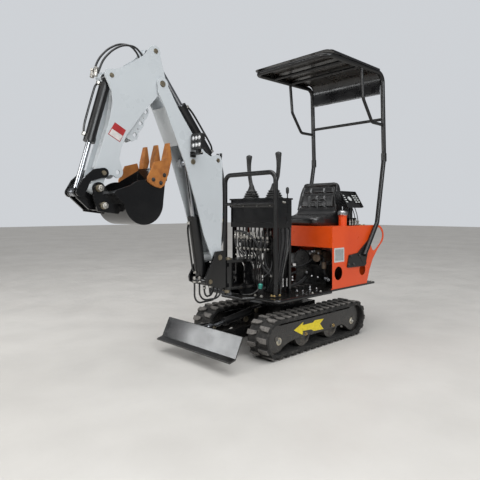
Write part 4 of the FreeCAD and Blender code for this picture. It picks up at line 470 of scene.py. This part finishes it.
def add_bolt(builder, spot, direction, size, washer=True, twist=0.3):
    """Adds a hexagon head on its washer; size is half its width over the flats, in millimetres."""
    base = 0
    if washer:
        add_lathe(builder, ((size * 1.75, 0), (size * 1.75, size * 0.22), (size * 1.62, size * 0.34), (size * 0.9, size * 0.34)),
                  spot, direction, 20)
        base = size * 0.3
    across = size / math.cos(math.pi / 6)
    add_lathe(builder, ((across, base), (across, base + size * 1.0), (size * 0.94, base + size * 1.22),
                        (size * 0.3, base + size * 1.24)), spot, direction, 6, twist)


def bolts(name, body, look, rows):
    """Many bolt heads as one mesh; a row is x, y, z in millimetres, the way it faces, and its size."""
    builder = bmesh.new()
    for number, (x, y, z, direction, size) in enumerate(rows):
        add_bolt(builder, at(x, y, z), direction, size, True, 0.3 + 0.9 * number)
    return piece(name, builder, look, body)


def add_prism(builder, outline, thickness, place, across, along):
    """Adds a flat plate: outline points (u, v) in millimetres from place along two directions, with its thickness."""
    across, along = Vector(across).normalized(), Vector(along).normalized()
    normal = across.cross(along)
    rings = [[builder.verts.new(place + across * u / 1000 + along * v / 1000 + normal * lift / 1000)
              for u, v in outline] for lift in (0, thickness)]
    count = len(outline)
    builder.faces.new(list(reversed(rings[0])))
    builder.faces.new(rings[1])
    for k in range(count):
        builder.faces.new((rings[0][k], rings[0][(k + 1) % count], rings[1][(k + 1) % count], rings[1][k]))


def add_block(builder, spans):
    """Adds a block between (low, high) spans of x, y and z in millimetres."""
    (x0, x1), (y0, y1), (z0, z1) = spans
    add_prism(builder, ((x0, y0), (x1, y0), (x1, y1), (x0, y1)), z1 - z0, at(0, 0, z0), (1, 0, 0), (0, 1, 0))


def hose(name, points, radius, look, body, replaced=()):
    """A smooth bent hose, pipe or cable through its guide points, in millimetres."""
    curve = bpy.data.curves.new(name, "CURVE")
    curve.dimensions = "3D"
    curve.bevel_depth = radius / 1000
    curve.bevel_resolution = 4
    curve.resolution_u = 6
    curve.use_fill_caps = True
    runs = points if isinstance(points[0][0], (tuple, list)) else (points,)
    for run in runs:
        spline = curve.splines.new("NURBS")
        spline.points.add(len(run) - 1)
        for point, spot in zip(spline.points, run):
            point.co = (*at(*spot), 1)
        spline.order_u = 3
        spline.use_endpoint_u = True
    curve.materials.append(M[look])
    made = bpy.data.objects.new(name, curve)
    scene.collection.objects.link(made)
    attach(made, body)
    if replaced:
        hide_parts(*replaced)
    return made


FITTING = ((5, 0), (9, 0), (10.4, 1.2), (10.4, 8.4), (9, 9.6), (7.4, 10.4), (7.4, 20), (8.2, 21), (8.2, 34), (6.4, 35.4))


def fittings(name, body, rows, look="zinc", scale=1.0):
    """Hose ends as one mesh: a hexagon nut, a neck and a crimped ferrule; a row is a place and the way it points."""
    builder = bmesh.new()
    for number, (x, y, z, direction) in enumerate(rows):
        add_lathe(builder, [(r * scale, h * scale) for r, h in FITTING[:5]], at(x, y, z), direction, 6, 0.7 * number)
        add_lathe(builder, [(r * scale, h * scale) for r, h in FITTING[4:]], at(x, y, z), direction, 16)
    return piece(name, builder, look, body)


def both_sides(rows):
    """The same rows on the left and, mirrored, on the right."""
    mirrored = [(x, -y, z, (d[0], -d[1], d[2]), *rest) for x, y, z, d, *rest in rows]
    return list(rows) + mirrored


LEFT = (0, 1, 0)
FRONT = (1, 0, 0)
UP = (0, 0, 1)
DOWN = (0, 0, -1)

# Undercarriage trim
hubs = bmesh.new()
for side in (-1, 1):
    for x, z in ((441, 119), (-441, 119)):
        add_lathe(hubs, ((26, 0), (26, 2.4), (24.5, 3.2), (12, 3.2)), at(x, side * 352, z), (0, side, 0), 32)
piece("hub_washers", hubs, "cream", "undercarriage")
bolts("hub_bolts", "undercarriage", "zinc", both_sides([(441, 355, 119, LEFT, 9), (-441, 355, 119, LEFT, 9)]))
bolts("roller_bolts", "undercarriage", "gold", both_sides([(147, 352, 119, LEFT, 8), (-191, 352, 124, LEFT, 8)]))
nipples = bmesh.new()
for side in (-1, 1):
    add_bolt(nipples, at(-290, side * 352, 100), (0, side, 0), 6.5, False)
    add_lathe(nipples, ((4.4, 7), (3, 9), (3, 12), (4, 14), (3.6, 16), (1.4, 17.5)), at(-290, side * 352, 100), (0, side, 0), 12)
piece("tension_nipples", nipples, "zinc", "undercarriage")

ARROW = ((282, 167), (175, 209), (182, 188), (62, 186), (41, 200), (-68, 194), (-22, 163), (-67, 117), (52, 123),
         (84, 140), (183, 146), (175, 113))
arrow = bmesh.new()
add_prism(arrow, ARROW, -0.5, at(0, 352, 0), FRONT, UP)
add_prism(arrow, [(-x, z) for x, z in ARROW], -0.5, at(0, -352, 0), (-1, 0, 0), UP)
piece("arrow_decals", arrow, "yellow", "undercarriage")

# Deck, hoop and body trim
bolts("hoop_bolts", "house", "gold", both_sides([
    (x, y, 408, UP, 6.5) for x in (344, 400) for y in (250, 276)]))
bolts("plate_bolts", "house", "dark_steel", both_sides([
    (-413, 364.5, 641, LEFT, 7.5), (-385, 364.5, 577, LEFT, 7.5), (-456, 364.5, 573, LEFT, 7.5), (-545, 364.5, 640, LEFT, 7)]))
bolts("deck_bolts", "house", "zinc", both_sides([(x, 345, 400, UP, 6) for x in (60, -40, -760)] + [
    (430, 120, 400, UP, 7), (430, 180, 400, UP, 7)]))
bolts("tank_bolts", "house", "gold", [(x, y, 884, UP, 5.5) for x in (-668, -630) for y in (190, 235, 290, 330)])

label = bmesh.new()
add_prism(label, ((0, 3), (3, 0), (133, 0), (136, 3), (136, 108), (133, 111), (3, 111), (0, 108)), -0.5,
          at(-335, 356, 605), FRONT, UP)
piece("blank_label", label, "label", "house")
panel = bmesh.new()
add_prism(panel, ((0, 0), (112, 0), (112, 88), (0, 88)), -0.8, at(-323, 356, 617), FRONT, UP)
piece("label_panel", panel, "label_grey", "house")

# Seat: one moulded shell, pan and back in one sweep, with a rolled rim and raised pads
SEAT_SIDE = ((-538, 888), (-360, 887), (-215, 889), (-180, 902), (-168, 928), (-180, 952), (-215, 960), (-300, 955),
             (-385, 964), (-432, 988), (-452, 1030), (-464, 1100), (-480, 1180), (-498, 1234), (-517, 1248),
             (-536, 1236), (-542, 1180), (-544, 1080), (-544, 960))


def closed_curve(points, count):
    """Points evenly spread in parameter along a smooth closed curve through some guide points."""
    total = len(points)
    made = []
    for step in range(count):
        place = step / count * total
        k = int(place)
        t = place - k
        p0, p1, p2, p3 = (Vector(points[(k + shift) % total]) for shift in (-1, 0, 1, 2))
        made.append(0.5 * ((2 * p1) + (p2 - p0) * t + (2 * p0 - 5 * p1 + 4 * p2 - p3) * t ** 2
                           + (3 * p1 - p0 - 3 * p2 + p3) * t ** 3))
    return made


# pads of the backrest: from and to across, as shares of its half width, and heights
BACK_PADS = ((-0.76, -0.42, 1162, 1208), (-0.28, 0.28, 1162, 1208), (0.42, 0.76, 1162, 1208),
             (-0.80, -0.45, 1040, 1140), (0.45, 0.80, 1040, 1140), (-0.33, -0.05, 1098, 1140), (0.05, 0.33, 1098, 1140),
             (-0.33, -0.05, 1040, 1082), (0.05, 0.33, 1040, 1082))
PAN_PADS = ((-0.78, -0.42, -392, -238), (0.42, 0.78, -392, -238), (-0.33, -0.05, -308, -238), (0.05, 0.33, -308, -238),
            (-0.33, -0.05, -392, -324), (0.05, 0.33, -392, -324))


def pad_height(share, place, pads, low, high, edge):
    """How far the cover stands under its rim: a sunk field from which soft-edged pads rise."""
    field = smooth_step(place, low, low + edge) * smooth_step(high - place, 0, edge) * smooth_step(0.90 - abs(share), 0, 0.07)
    raised = 0
    for left, right, under, over in pads:
        inside = min((share - left) * 190, (right - share) * 190, place - under, over - place)
        raised = max(raised, smooth_step(inside, -3, 7))
    return field * (15 * raised - 14)


def taken_from(thing):
    """A mesh of what a modified object looks like now."""
    bpy.context.view_layer.update()
    return bpy.data.meshes.new_from_object(thing.evaluated_get(bpy.context.evaluated_depsgraph_get()))


def puff(thing, cell, pressure, cap):
    """Remeshes a padded form, lets cloth under pressure swell it by no more than cap, and makes its mesh finer."""
    voxels = thing.modifiers.new("cells", "REMESH")
    voxels.mode = "VOXEL"
    voxels.voxel_size = cell
    thing.data = taken_from(thing)
    thing.modifiers.clear()
    cloth = thing.modifiers.new("cover", "CLOTH")
    cloth.settings.quality = 6
    cloth.settings.tension_stiffness = 30
    cloth.settings.use_pressure = True
    cloth.settings.uniform_pressure_force = pressure
    cloth.settings.effector_weights.gravity = 0
    cloth.point_cache.frame_start = 1
    cloth.point_cache.frame_end = 20
    for moment in range(1, 21):
        scene.frame_set(moment)
    swollen = taken_from(thing)
    thing.modifiers.clear()
    scene.frame_set(1)
    for vertex, moved in zip(thing.data.vertices, swollen.vertices):
        way = moved.co - vertex.co
        if way.length > cap:
            way *= cap / way.length
        vertex.co += way
    finer = thing.modifiers.new("finer", "SUBSURF")
    finer.levels = finer.render_levels = 1
    thing.data = taken_from(thing)
    thing.modifiers.clear()


def make_seat():
    side = closed_curve(SEAT_SIDE, 120)
    builder = bmesh.new()
    sections = 60
    rings = []
    for number in range(sections + 1):
        share = 2 * number / sections - 1
        share = 0.6 * share + 0.4 * math.sin(math.pi / 2 * share)
        ring = []
        outer = max(0, (abs(share) - 0.88) / 0.12)
        inset = 18 * (1 - math.sqrt(max(0, 1 - outer ** 2)))
        for k, spot in enumerate(side):
            tangent = side[(k + 1) % len(side)] - side[k - 1]
            inward = Vector((-tangent.y, tangent.x)).normalized()
            x, z = spot.x + inward.x * inset, spot.y + inward.y * inset
            half = 214 - 20 * smooth_step(z, 985, 1230)
            y = share * half
            if z > 1150:
                turn = max(0, (abs(y) - half + 58) / 60)
                z = 1150 + (z - 1150) * math.sqrt(max(0.12, 1 - min(turn, 1) ** 3))
            if x > -300 and z < 1000:
                turn = max(0, (abs(y) - 125) / 90)
                x = -300 + (x + 300) * math.sqrt(max(0.05, 1 - min(turn, 1) ** 2.6))
            ring.append(builder.verts.new(at(x, y, z)))
        rings.append(ring)
    count = len(side)
    for before, after in zip(rings, rings[1:]):
        for k in range(count):
            builder.faces.new((before[k], after[k], after[(k + 1) % count], before[(k + 1) % count]))
    builder.faces.new(list(reversed(rings[0])))
    builder.faces.new(rings[-1])
    made = piece("seat_cushion", builder, "vinyl", "house", smooth=0, replaced=("seat",))
    puff(made, 0.007, 4.0, 0.004)
    mesh = made.data
    ways = [vertex.normal.copy() for vertex in mesh.vertices]
    for vertex, facing in zip(mesh.vertices, ways):
        x, y, z = (vertex.co.x - AXIS) * 1000, vertex.co.y * 1000, vertex.co.z * 1000
        share = y / (214 - 20 * smooth_step(z, 985, 1230))
        lift = 0
        if z > 1010 and x > -520:
            rim = 9 * smooth_step(abs(share), 0.84, 0.92) + 9 * smooth_step(z, 1218, 1232)
            lift = smooth_step(facing.x, 0.35, 0.7) * (min(rim, 9) + pad_height(share, z, BACK_PADS, 1024, 1226, 12))
        elif z > 930 and -425 < x < -180:
            lift = smooth_step(facing.z, 0.6, 0.9) * 0.7 * (6 * smooth_step(abs(share), 0.80, 0.92)
                                                            + pad_height(share, x, PAN_PADS, -412, -218, 12))
        vertex.co += facing * lift / 1000
        vertex.co.z = max(vertex.co.z, 0.8846)
        vertex.co.x = max(vertex.co.x, (-565 + AXIS * 1000) / 1000)
    mesh.materials.clear()
    mesh.materials.append(M["vinyl"])
    for face in mesh.polygons:
        face.use_smooth = True


make_seat()

# Joysticks: ribbed boots, bent stems and grips with a thumb button
BOOT = ((66, 0), (67, 3), (65, 7), (55, 11), (54, 14), (60, 19), (60, 23), (48, 27), (47, 30), (53, 35), (53, 39),
        (40, 43), (39, 46), (44, 51), (44, 55), (33, 60), (29, 68), (24, 80), (19, 96), (15, 108), (0, 110))
# height of a lever's section, its share of the way to the bend and then to the grip, and its radius
LEVER = ((1176, 0.0, 0.0, 17), (1200, 0.2, 0.0, 17), (1228, 0.65, 0.0, 16), (1256, 1.0, 0.1, 15.5), (1290, 1.0, 0.6, 15.5),
         (1330, 1.0, 1.0, 16.5), (1370, 1.0, 1.1, 18.5), (1400, 1.0, 0.95, 21.5), (1418, 1.0, 0.85, 24.5),
         (1427, 1.0, 0.82, 24), (1433, 1.0, 0.82, 18), (1435.5, 1.0, 0.82, 8))


def add_lever(builder, y, bend, grip):
    """Adds a bent lever with a moulded grip, round sections at rising heights."""
    rings = []
    for z, to_bend, to_grip, radius in LEVER:
        middle = y + bend * to_bend + (grip - bend) * to_grip
        rings.append([builder.verts.new(at(250 + 0.9 * radius * math.cos(math.tau * k / 32),
                                           middle + radius * math.sin(math.tau * k / 32), z)) for k in range(32)])
    for lower, upper in zip(rings, rings[1:]):
        for k in range(32):
            builder.faces.new((lower[k], lower[(k + 1) % 32], upper[(k + 1) % 32], upper[k]))
    builder.faces.new(list(reversed(rings[0])))
    builder.faces.new(rings[-1])


boots = bmesh.new()
grips = bmesh.new()
buttons = bmesh.new()
for y, bend, grip in ((-95, -16, -27), (138, 34, 44)):
    add_lathe(boots, BOOT, at(250, y, 1098.3), UP, 48)
    add_lever(grips, y, bend, grip)
    add_lathe(buttons, ((6, 0), (6, 2), (4.6, 3.6), (0, 4)), at(252, y + bend + (grip - bend) * 0.82, 1434), UP, 20)
add_lathe(grips, ((5, 30), (9, 34), (11.5, 42), (12, 64), (10, 74), (5, 80), (0, 81)), at(200, 224, 1098), UP, 24)
add_lathe(boots, ((4.5, 0), (4.5, 34), (0, 34)), at(200, 224, 1098.2), UP, 16)
piece("joystick_boots", boots, "boot", "house", smooth=50, replaced=("joysticks",))
piece("joystick_grips", grips, "boot", "house", smooth=60)
piece("joystick_buttons", buttons, "plastic", "house")
side_knobs = bmesh.new()
for y in (-38, 196):
    add_lathe(side_knobs, ((9, 0), (9, 14), (12, 18), (13, 34), (10, 42), (0, 44)), at(282, y, 1098.3), UP, 24)
piece("travel_knobs", side_knobs, "boot", "house", smooth=50)

# Fittings and hoses round the valve bank
rows = []
for number in range(8):
    y = -151 + 42 * number
    rows += [(318, y, 722, FRONT), (325, y, 776, (0.12, 0.1 * math.sin(number * 2.1), 1))]
fittings("valve_fittings", "house", rows, "zinc", 1.16)
fittings("valve_top_fittings", "house", [(245, -151 + 42 * k, 818, (0, 0, 1)) for k in range(8)], "zinc", 1.05)
ferrules = bmesh.new()
for number in range(7):
    y = -190 + 34 * number
    add_lathe(ferrules, ((7.5, 0), (8.6, 2), (8.6, 30), (7, 33), (7, 44), (9.5, 45), (9.5, 52), (7, 54)),
              at(334, y, 792 + 3 * math.sin(number * 2.6)), (0.05, 0.16, 1), 14)
    add_bolt(ferrules, at(330, y + 14, 668), (1, 0.2, 0.3), 7, False, number)
piece("pilot_ferrules", ferrules, "zinc", "house")
hose("pilot_hoses", [((334, -190 + 34 * k, 794), (338, -188 + 34 * k, 770), (336, -176 + 32 * k, 730), (322, -150 + 28 * k, 690),
                      (300, -120 + 24 * k, 650), (280, -100 + 20 * k, 600)) for k in range(7)], 6, "hose", "house")
hose("console_loop", ((330, -196, 846), (338, -140, 852), (340, -70, 838), (338, 0, 812), (334, 40, 772), (328, 62, 726)),
     10, "hose", "house")
hose("side_loops", [((300, 92, 862), (334, 94, 800), (344, 86, 720), (340, 84, 650), (336, 106, 590), (320, 150, 545),
                     (290, 190, 524)),
                    ((290, 120, 862), (322, 124, 790), (330, 116, 700), (326, 118, 620), (316, 148, 570), (290, 178, 548),
                     (262, 190, 540))], 10, "hose", "house")
fittings("loop_fittings", "house", [(328, 62, 728, (0, 0.1, -1)), (300, 92, 858, (0, 0, -1)), (290, 190, 524, (1, -1, 0.3)),
                                    (262, 190, 540, (1, -0.6, 0.3))], "zinc", 1.2)
hose("bundle_hoses", [((176 + 15 * k, 228 - 13 * (k % 3), 880), (180 + 14 * k, 232 - 13 * (k % 3), 800 - 6 * k),
                       (212 + 11 * k, 230 - 14 * (k % 3), 690), (250 + 7 * k, 222 - 16 * (k % 3), 570),
                       (278 + 4 * k, 200 - 20 * (k % 3), 470), (280 + 2 * k, 150 - 16 * (k % 3), 416)) for k in range(9)],
     8.5, "hose", "house")
hose("rear_hoses", [((164, 190 - 26 * k, 880), (158, 187 - 26 * k, 790), (152 - 2 * (k % 2), 184 - 26 * k, 690),
                     (150, 178 - 25 * k, 580), (156, 168 - 24 * k, 480), (160, 160 - 23 * k, 412)) for k in range(10)],
     10, "hose", "house")
hose("control_cable", ((218, 246, 868), (222, 246, 740), (252, 246, 640), (281, 244, 518), (290, 240, 470), (292, 236, 404)),
     3.2, "grey_cable", "house")
hose("deck_cable", ((466, 200, 470), (470, 184, 452), (474, 140, 420), (476, 90, 407), (492, 30, 405), (500, -40, 405)),
     4, "grey_cable", "house")
cap = bmesh.new()
add_lathe(cap, ((9, 0), (13, 2), (13, 15), (15, 16), (15, 30), (12, 33), (8, 36), (0, 37)), at(466, 200, 463), (0, 0.2, 1), 20)
piece("connector_cap", cap, "teal", "house")
hose("connector_lead", ((466, 201, 498), (464, 206, 520), (440, 214, 545), (400, 212, 560), (352, 205, 590), (330, 190, 640)),
     4, "hose", "house")

# Engine bay
machine = bmesh.new()
add_lathe(machine, ((14, 0), (14, 30), (20, 32), (20, 52), (34, 54), (36, 60), (36, 92), (30, 100), (18, 104), (0, 104)),
          at(-300, 120, 598), (0.2, 0.2, 1), 28)
add_lathe(machine, ((11, 0), (18, 3), (18, 52), (12, 56), (6, 58)), at(-262, 215, 540), UP, 24)
add_lathe(machine, ((22, 0), (22, 18), (30, 20), (30, 30), (16, 34), (0, 34)), at(-262, 150, 622), (1, 0.4, 0.1), 24)
piece("carburettor", machine, "silencer", "house")
bright = bmesh.new()
for spot, direction, size in (((-240, 130, 676), (1, 0.3, -0.4), 8), ((-250, 170, 662), (1, 0, 0), 6), ((-236, 96, 660), (1, 0, 0), 6),
                              ((-226, 182, 470), UP, 7), ((-226, 120, 474), UP, 7), ((-230, 250, 470), (1, 0, 0.4), 7),
                              ((-226, 282, 462), (1, 0, 0.3), 8), ((-240, 60, 500), (1, 0, 0), 7), ((-240, 10, 488), (1, 0, 0), 7)):
    add_bolt(bright, at(*spot), direction, size)
add_lathe(bright, ((7, 0), (7, 34), (10, 36), (10, 50), (0, 52)), at(-252, 108, 660), (1, 0.6, 0.5), 16)
for x in (286, 244):
    add_lathe(bright, ((7, 0), (7, 8), (5, 9), (5, 46), (7.5, 47), (7.5, 58), (0, 59)), at(x, 255, 462), (0.02, 0, 1), 12)
for x, z, size in ((181, 498, 7), (181, 520, 6), (129, 412, 7), (-27, 424, 6), (-27, 404, 7), (60, 404, 6), (-110, 404, 6)):
    add_bolt(bright, at(x, 255, z), UP, size)
piece("engine_bright_parts", bright, "steel", "house")
wheel = bmesh.new()
add_lathe(wheel, ((16, 0), (16, 6), (58, 8), (64, 4), (70, 4), (72, 12), (70, 26), (64, 28), (60, 22), (20, 24), (14, 34), (0, 34)),
          at(-282, -10, 612), (1, 0.15, 0), 40)
for k in range(8):
    add_lathe(wheel, ((6, 0), (6, 3), (0, 3.5)), at(-258, -10 + 40 * math.cos(k * math.tau / 8), 612 + 40 * math.sin(k * math.tau / 8)),
              (1, 0.15, 0), 12)
piece("fan_pulley", wheel, "dark_steel", "house")
hose("fuel_hoses", [((-262, 215, 596), (-262, 214, 620), (-268, 190, 640), (-290, 140, 640)),
                    ((-262, 215, 540), (-262, 218, 515), (-280, 226, 480), (-330, 200, 450)),
                    ((-120, -160, 560), (-160, -60, 540), (-200, 30, 548), (-235, 90, 590), (-262, 120, 628))], 7, "hose", "house")
hose("ignition_lead", ((-430, 0, 660), (-380, 40, 700), (-300, 90, 690), (-270, 110, 660)), 4, "hose", "house")
hose("suction_hoses", [((-260, -40, 500), (-150, -80, 470), (0, -100, 440), (150, -90, 425), (250, -60, 470), (262, -40, 560), (250, -30, 680)),
                       ((-250, 40, 460), (-120, 90, 430), (40, 120, 420), (180, 110, 430), (240, 90, 520), (250, 80, 690))],
     11, "hose", "house")
box_rows = bmesh.new()
for k in range(5):
    add_block(box_rows, ((-150 + 44 * k, -118 + 44 * k), (150, 186), (400.3, 424 + 6 * (k % 2))))
piece("deck_terminals", box_rows, "plastic", "house", bevel=0.002)

# Instrument panel
dash = bmesh.new()
PANEL_OUT = Vector((0, 0.79, 0.55)).normalized()
add_lathe(dash, ((27, -2), (27, 3), (24, 4.5), (22, 4.5), (22, 3), (0, 3)), at(-480, 309, 1103), PANEL_OUT, 36)
piece("gauge_ring", dash, "chrome", "house")
dial = bmesh.new()
add_lathe(dial, ((21.5, 2.6), (21.5, 3.6), (0, 3.9)), at(-480, 309, 1103), PANEL_OUT, 32)
piece("gauge_dial", dial, "label", "house")
keys = bmesh.new()
slope = Vector((0, -0.55, 0.79))
for x in (-600, -560, -425):
    for step in (-34, -12, 10, 32):
        spot = at(x, 306, 1106) + slope * step / 1000
        add_prism(keys, ((-13, -5), (13, -5), (13, 5), (-13, 5)), 2.5, spot, (1, 0, 0), slope)
piece("panel_keys", keys, "label", "house", bevel=0.001)
relay = bmesh.new()
for x in (-596, -556, -516, -476):
    add_lathe(relay, ((9, 0), (9, 26), (12, 27), (12, 32), (5, 34), (5, 44), (0, 44)), at(x, 316, 890), UP, 14)
    add_bolt(relay, at(x + 18, 326, 890.4), UP, 5.5)
piece("terminal_posts", relay, "zinc", "house")
hose("panel_wires", [((x, 316, 934), (x + 6, 314, 962), (x - 8, 300, 985), (x, 285, 1034)) for x in (-596, -556, -516, -476)],
     3.4, "boot", "house")

# Console trim: a bright steel strip along the shelf's front edge as a painted highlight, two bright studs and screws
# painted highlight: a thin bright steel strip standing in for the light caught along the shelf's front edge
highlight_strip = bmesh.new()
add_block(highlight_strip, ((352.1, 353.4), (-235, 217), (1053.5, 1059.5)))
piece("shelf_highlight_strip", highlight_strip, "steel", "house", bevel=0.0005)
bolts("console_studs", "house", "zinc", [(236, 230.5, 1066, LEFT, 5), (254, 230.5, 1068, LEFT, 5)] + [
    (353.5, y, 1045, FRONT, 4.5) for y in (-210, -80, 60, 190)] + [(340.5, y, 900, FRONT, 4.5) for y in (-190, 200)])

# Rams: steel pipes, banjo fittings and hose ends


def ram_pipe(name, body, foot, head, across, rows, radius=6.5, clamp=52):
    """A steel pipe beside a ram's barrel with a fitting at each end; rows are lengths along it and distances off its axis."""
    foot, head = Vector(foot), Vector(head)
    along = (head - foot).normalized()
    out = Vector(across)
    spots = [foot + along * far + out * off for far, off in rows]
    hose(name, [(p.x, 0, p.y) for p in spots], radius, "black", body)
    builder = bmesh.new()
    for far, off, way in ((rows[0][0], rows[0][1], -1), (rows[-1][0], rows[-1][1], 1)):
        spot = foot + along * far + out * off
        toward = -out
        add_lathe(builder, ((9, -9), (12, -8), (12, 8), (9, 9)), at(spot.x, 0, spot.y), (along.x, 0, along.y), 6, 0.4)
        add_lathe(builder, ((7, 0), (7, 26)), at(spot.x, 0, spot.y), (toward.x, 0, toward.y), 14)
    piece(name + "_fittings", builder, "zinc", body)


ram_pipe("arm_ram_pipe", "arm_barrel", (738, 1344), (1228, 1968), (-0.787, 0.618),
         ((52, 44), (70, 60), (110, 64), (230, 63), (372, 60), (398, 44)))
ram_pipe("boom_ram_pipe", "boom_barrel", (825, 535), (954, 1319), (0.9867, -0.1624),
         ((70, 46), (82, 62), (120, 64), (260, 64), (372, 62), (402, 46)))
ram_pipe("bucket_ram_pipe", "bucket_barrel", (1520, 1764), (1711, 1104), (0.9606, 0.278),
         ((56, 40), (70, 52), (110, 54), (240, 54), (340, 52), (362, 40)), 6)
loop_tops = ((925, 49, 556), (884, 49, 552), (834, 38, 505), (800, 62, 512))
fittings("bracket_loop_fittings", "swing_post", [(x, y, z - 20, UP) for x, y, z in loop_tops], "zinc", 1.12)
fittings("arm_hose_fittings", "arm", [(1592 + 2, y, 1800, (0.16, 0, -1)) for y in (-20, 20)], "zinc", 1.45)

# The bundle that stands off the boom's back, with its coloured sleeves
hose("boom_bundle", [((690, 20, 752), (664, 26, 790), (652, 27, 860), (650, 27, 1060), (652, 27, 1200), (664, 28, 1290),
                      (694, 32, 1346), (722, 40, 1356)),
                     ((692, 36, 760), (668, 38, 800), (656, 39, 900), (655, 39, 1060), (658, 38, 1190), (672, 36, 1270),
                      (700, 34, 1300))], 7.5, "hose", "boom")
sleeves = bmesh.new()
add_lathe(sleeves, ((8.2, 0), (9, 1), (9, 21), (8.2, 22)), at(650, 27, 968), UP, 20)
piece("teal_sleeve", sleeves, "teal", "boom")
sleeves = bmesh.new()
add_lathe(sleeves, ((8.2, 0), (8.8, 1), (8.8, 33), (8.2, 34)), at(650, 27, 915), UP, 20)
piece("yellow_sleeve", sleeves, "yellow", "boom")

# Arm plates: red signs on pale panels, on both sides
SIGN = ((1471, 1394), (1545, 1431), (1502, 1503), (1432, 1466))
signs = bmesh.new()
panels = bmesh.new()
PANEL = ((1473, 1399), (1539, 1432), (1520, 1464), (1454, 1431))
for side in (1, -1):
    for builder, outline, far in ((signs, SIGN, 57), (panels, PANEL, 57.7)):
        add_prism(builder, [(side * x, z) for x, z in outline], -0.7, at(0, side * far, 0), (side, 0, 0), UP)
piece("arm_signs", signs, "red", "arm")
piece("arm_sign_panels", panels, "sign", "arm")

# Lamp: lenses in their cups, and a bezel
lenses = bmesh.new()
bezel = bmesh.new()
for y in (102, 132, 162):
    for z in (1420, 1464):
        add_lathe(lenses, ((10.4, 0), (12, 6.6), (9, 8.2), (5, 9.4), (0, 9.8)), at(969.2, y, z), FRONT, 28)
        add_lathe(bezel, ((13.4, -4), (14.6, 0), (14.6, 0.9), (13.2, 0.9), (12.4, -3)), at(978, y, z), FRONT, 28)
piece("lamp_lenses", lenses, "lens", "boom", smooth=60)
piece("lamp_bezels", bezel, "steel", "boom")
bolts("lamp_bolts", "boom", "zinc", [(954, 156, 1368.2, UP, 6), (940, 70, 1376, (0, 0, 1), 5)])

# Bucket bolts and nuts, and the bolts of the boom's plate
bolts("cutter_bolts", "bucket", "dark_steel", both_sides([
    (x, 167, z, LEFT, 7) for x, z in ((1319, 1183), (1243, 1212), (1268, 1166))]))
nuts = bmesh.new()
rings = bmesh.new()
for side in (-1, 1):
    for x, z in ((1616, 1125), (1590, 1031)):
        add_bolt(nuts, at(x, side * 102, z), (0, side, 0), 16, False, 0.4)
        add_lathe(nuts, ((8, 12), (8, 24), (6.5, 26)), at(x, side * 102, z), (0, side, 0), 20)
piece("bucket_nuts", nuts, "zinc", "bucket")
rings.free()
bolts("boom_plate_bolts", "boom", "zinc", both_sides([(706, 58, 1300, LEFT, 4)]))

# Camera, floor and light
camera_data = bpy.data.cameras.new("camera")
camera_data.sensor_width = 36
camera_data.lens = 35.3
camera_data.shift_y = -0.054
camera = bpy.data.objects.new("camera", camera_data)
camera.location = (2.448, 2.457, 0.998)
camera.rotation_euler = Vector((-0.695, -0.719, -0.005)).to_track_quat("-Z", "Y").to_euler()
scene.collection.objects.link(camera)
scene.camera = camera

floor = bmesh.new()
bmesh.ops.create_grid(floor, x_segments=8, y_segments=8, size=30)
floor_mesh = bpy.data.meshes.new("floor")
floor.to_mesh(floor_mesh)
floor.free()
floor_object = bpy.data.objects.new("floor", floor_mesh)
floor_mesh.materials.append(M["floor"])
scene.collection.objects.link(floor_object)

world = scene.world or bpy.data.worlds.new("world")
scene.world = world
world.use_nodes = True
sky = world.node_tree
seen = sky.nodes["Background"]
seen.inputs["Color"].default_value = (0.86, 0.89, 0.93, 1)
seen.inputs["Strength"].default_value = 0.72
lit = sky.nodes.new("ShaderNodeBackground")
lit.inputs["Color"].default_value = (0.88, 0.91, 0.95, 1)
lit.inputs["Strength"].default_value = 0.21
path = sky.nodes.new("ShaderNodeLightPath")
blend = sky.nodes.new("ShaderNodeMixShader")
sky.links.new(path.outputs["Is Camera Ray"], blend.inputs[0])
sky.links.new(lit.outputs[0], blend.inputs[1])
sky.links.new(seen.outputs[0], blend.inputs[2])
sky.links.new(blend.outputs[0], sky.nodes["World Output"].inputs["Surface"])

LIGHTS = (
    ("right_window", (4.2, -3.6, 2.1), (0.7, 0, 0.4), (2.0, 0.8), 34, (0.97, 0.99, 1.0)),
    ("sky_panel", (0.0, 0.0, 5.4), (0, 0, 0.8), (5.5, 5.5), 130, (1.0, 1.0, 1.0)),
    ("hall_window", (1.8, 5.8, 3.6), (0, 0, 1.0), (3.5, 2.2), 200, (0.95, 0.98, 1.0)),
    ("front_fill", (5.6, -0.4, 2.6), (0, 0, 1.0), (3.0, 2.2), 150, (1.0, 0.98, 0.95)),
)
for name, place, target, (wide, tall), watts, tint in LIGHTS:
    data = bpy.data.lights.new(name, "AREA")
    data.shape = "RECTANGLE"
    data.size = wide
    data.size_y = tall
    data.energy = watts
    data.color = tint
    lamp = bpy.data.objects.new(name, data)
    lamp.location = place
    lamp.rotation_euler = (Vector(target) - Vector(place)).to_track_quat("-Z", "Y").to_euler()
    lamp.visible_camera = False
    scene.collection.objects.link(lamp)

sun_data = bpy.data.lights.new("soft_daylight", "SUN")
sun_data.energy = 1.85
sun_data.angle = math.radians(70)
sun = bpy.data.objects.new("soft_daylight", sun_data)
sun.rotation_euler = Vector((-0.25, -0.35, -1)).to_track_quat("-Z", "Y").to_euler()
scene.collection.objects.link(sun)

scene.view_settings.view_transform = "Standard"
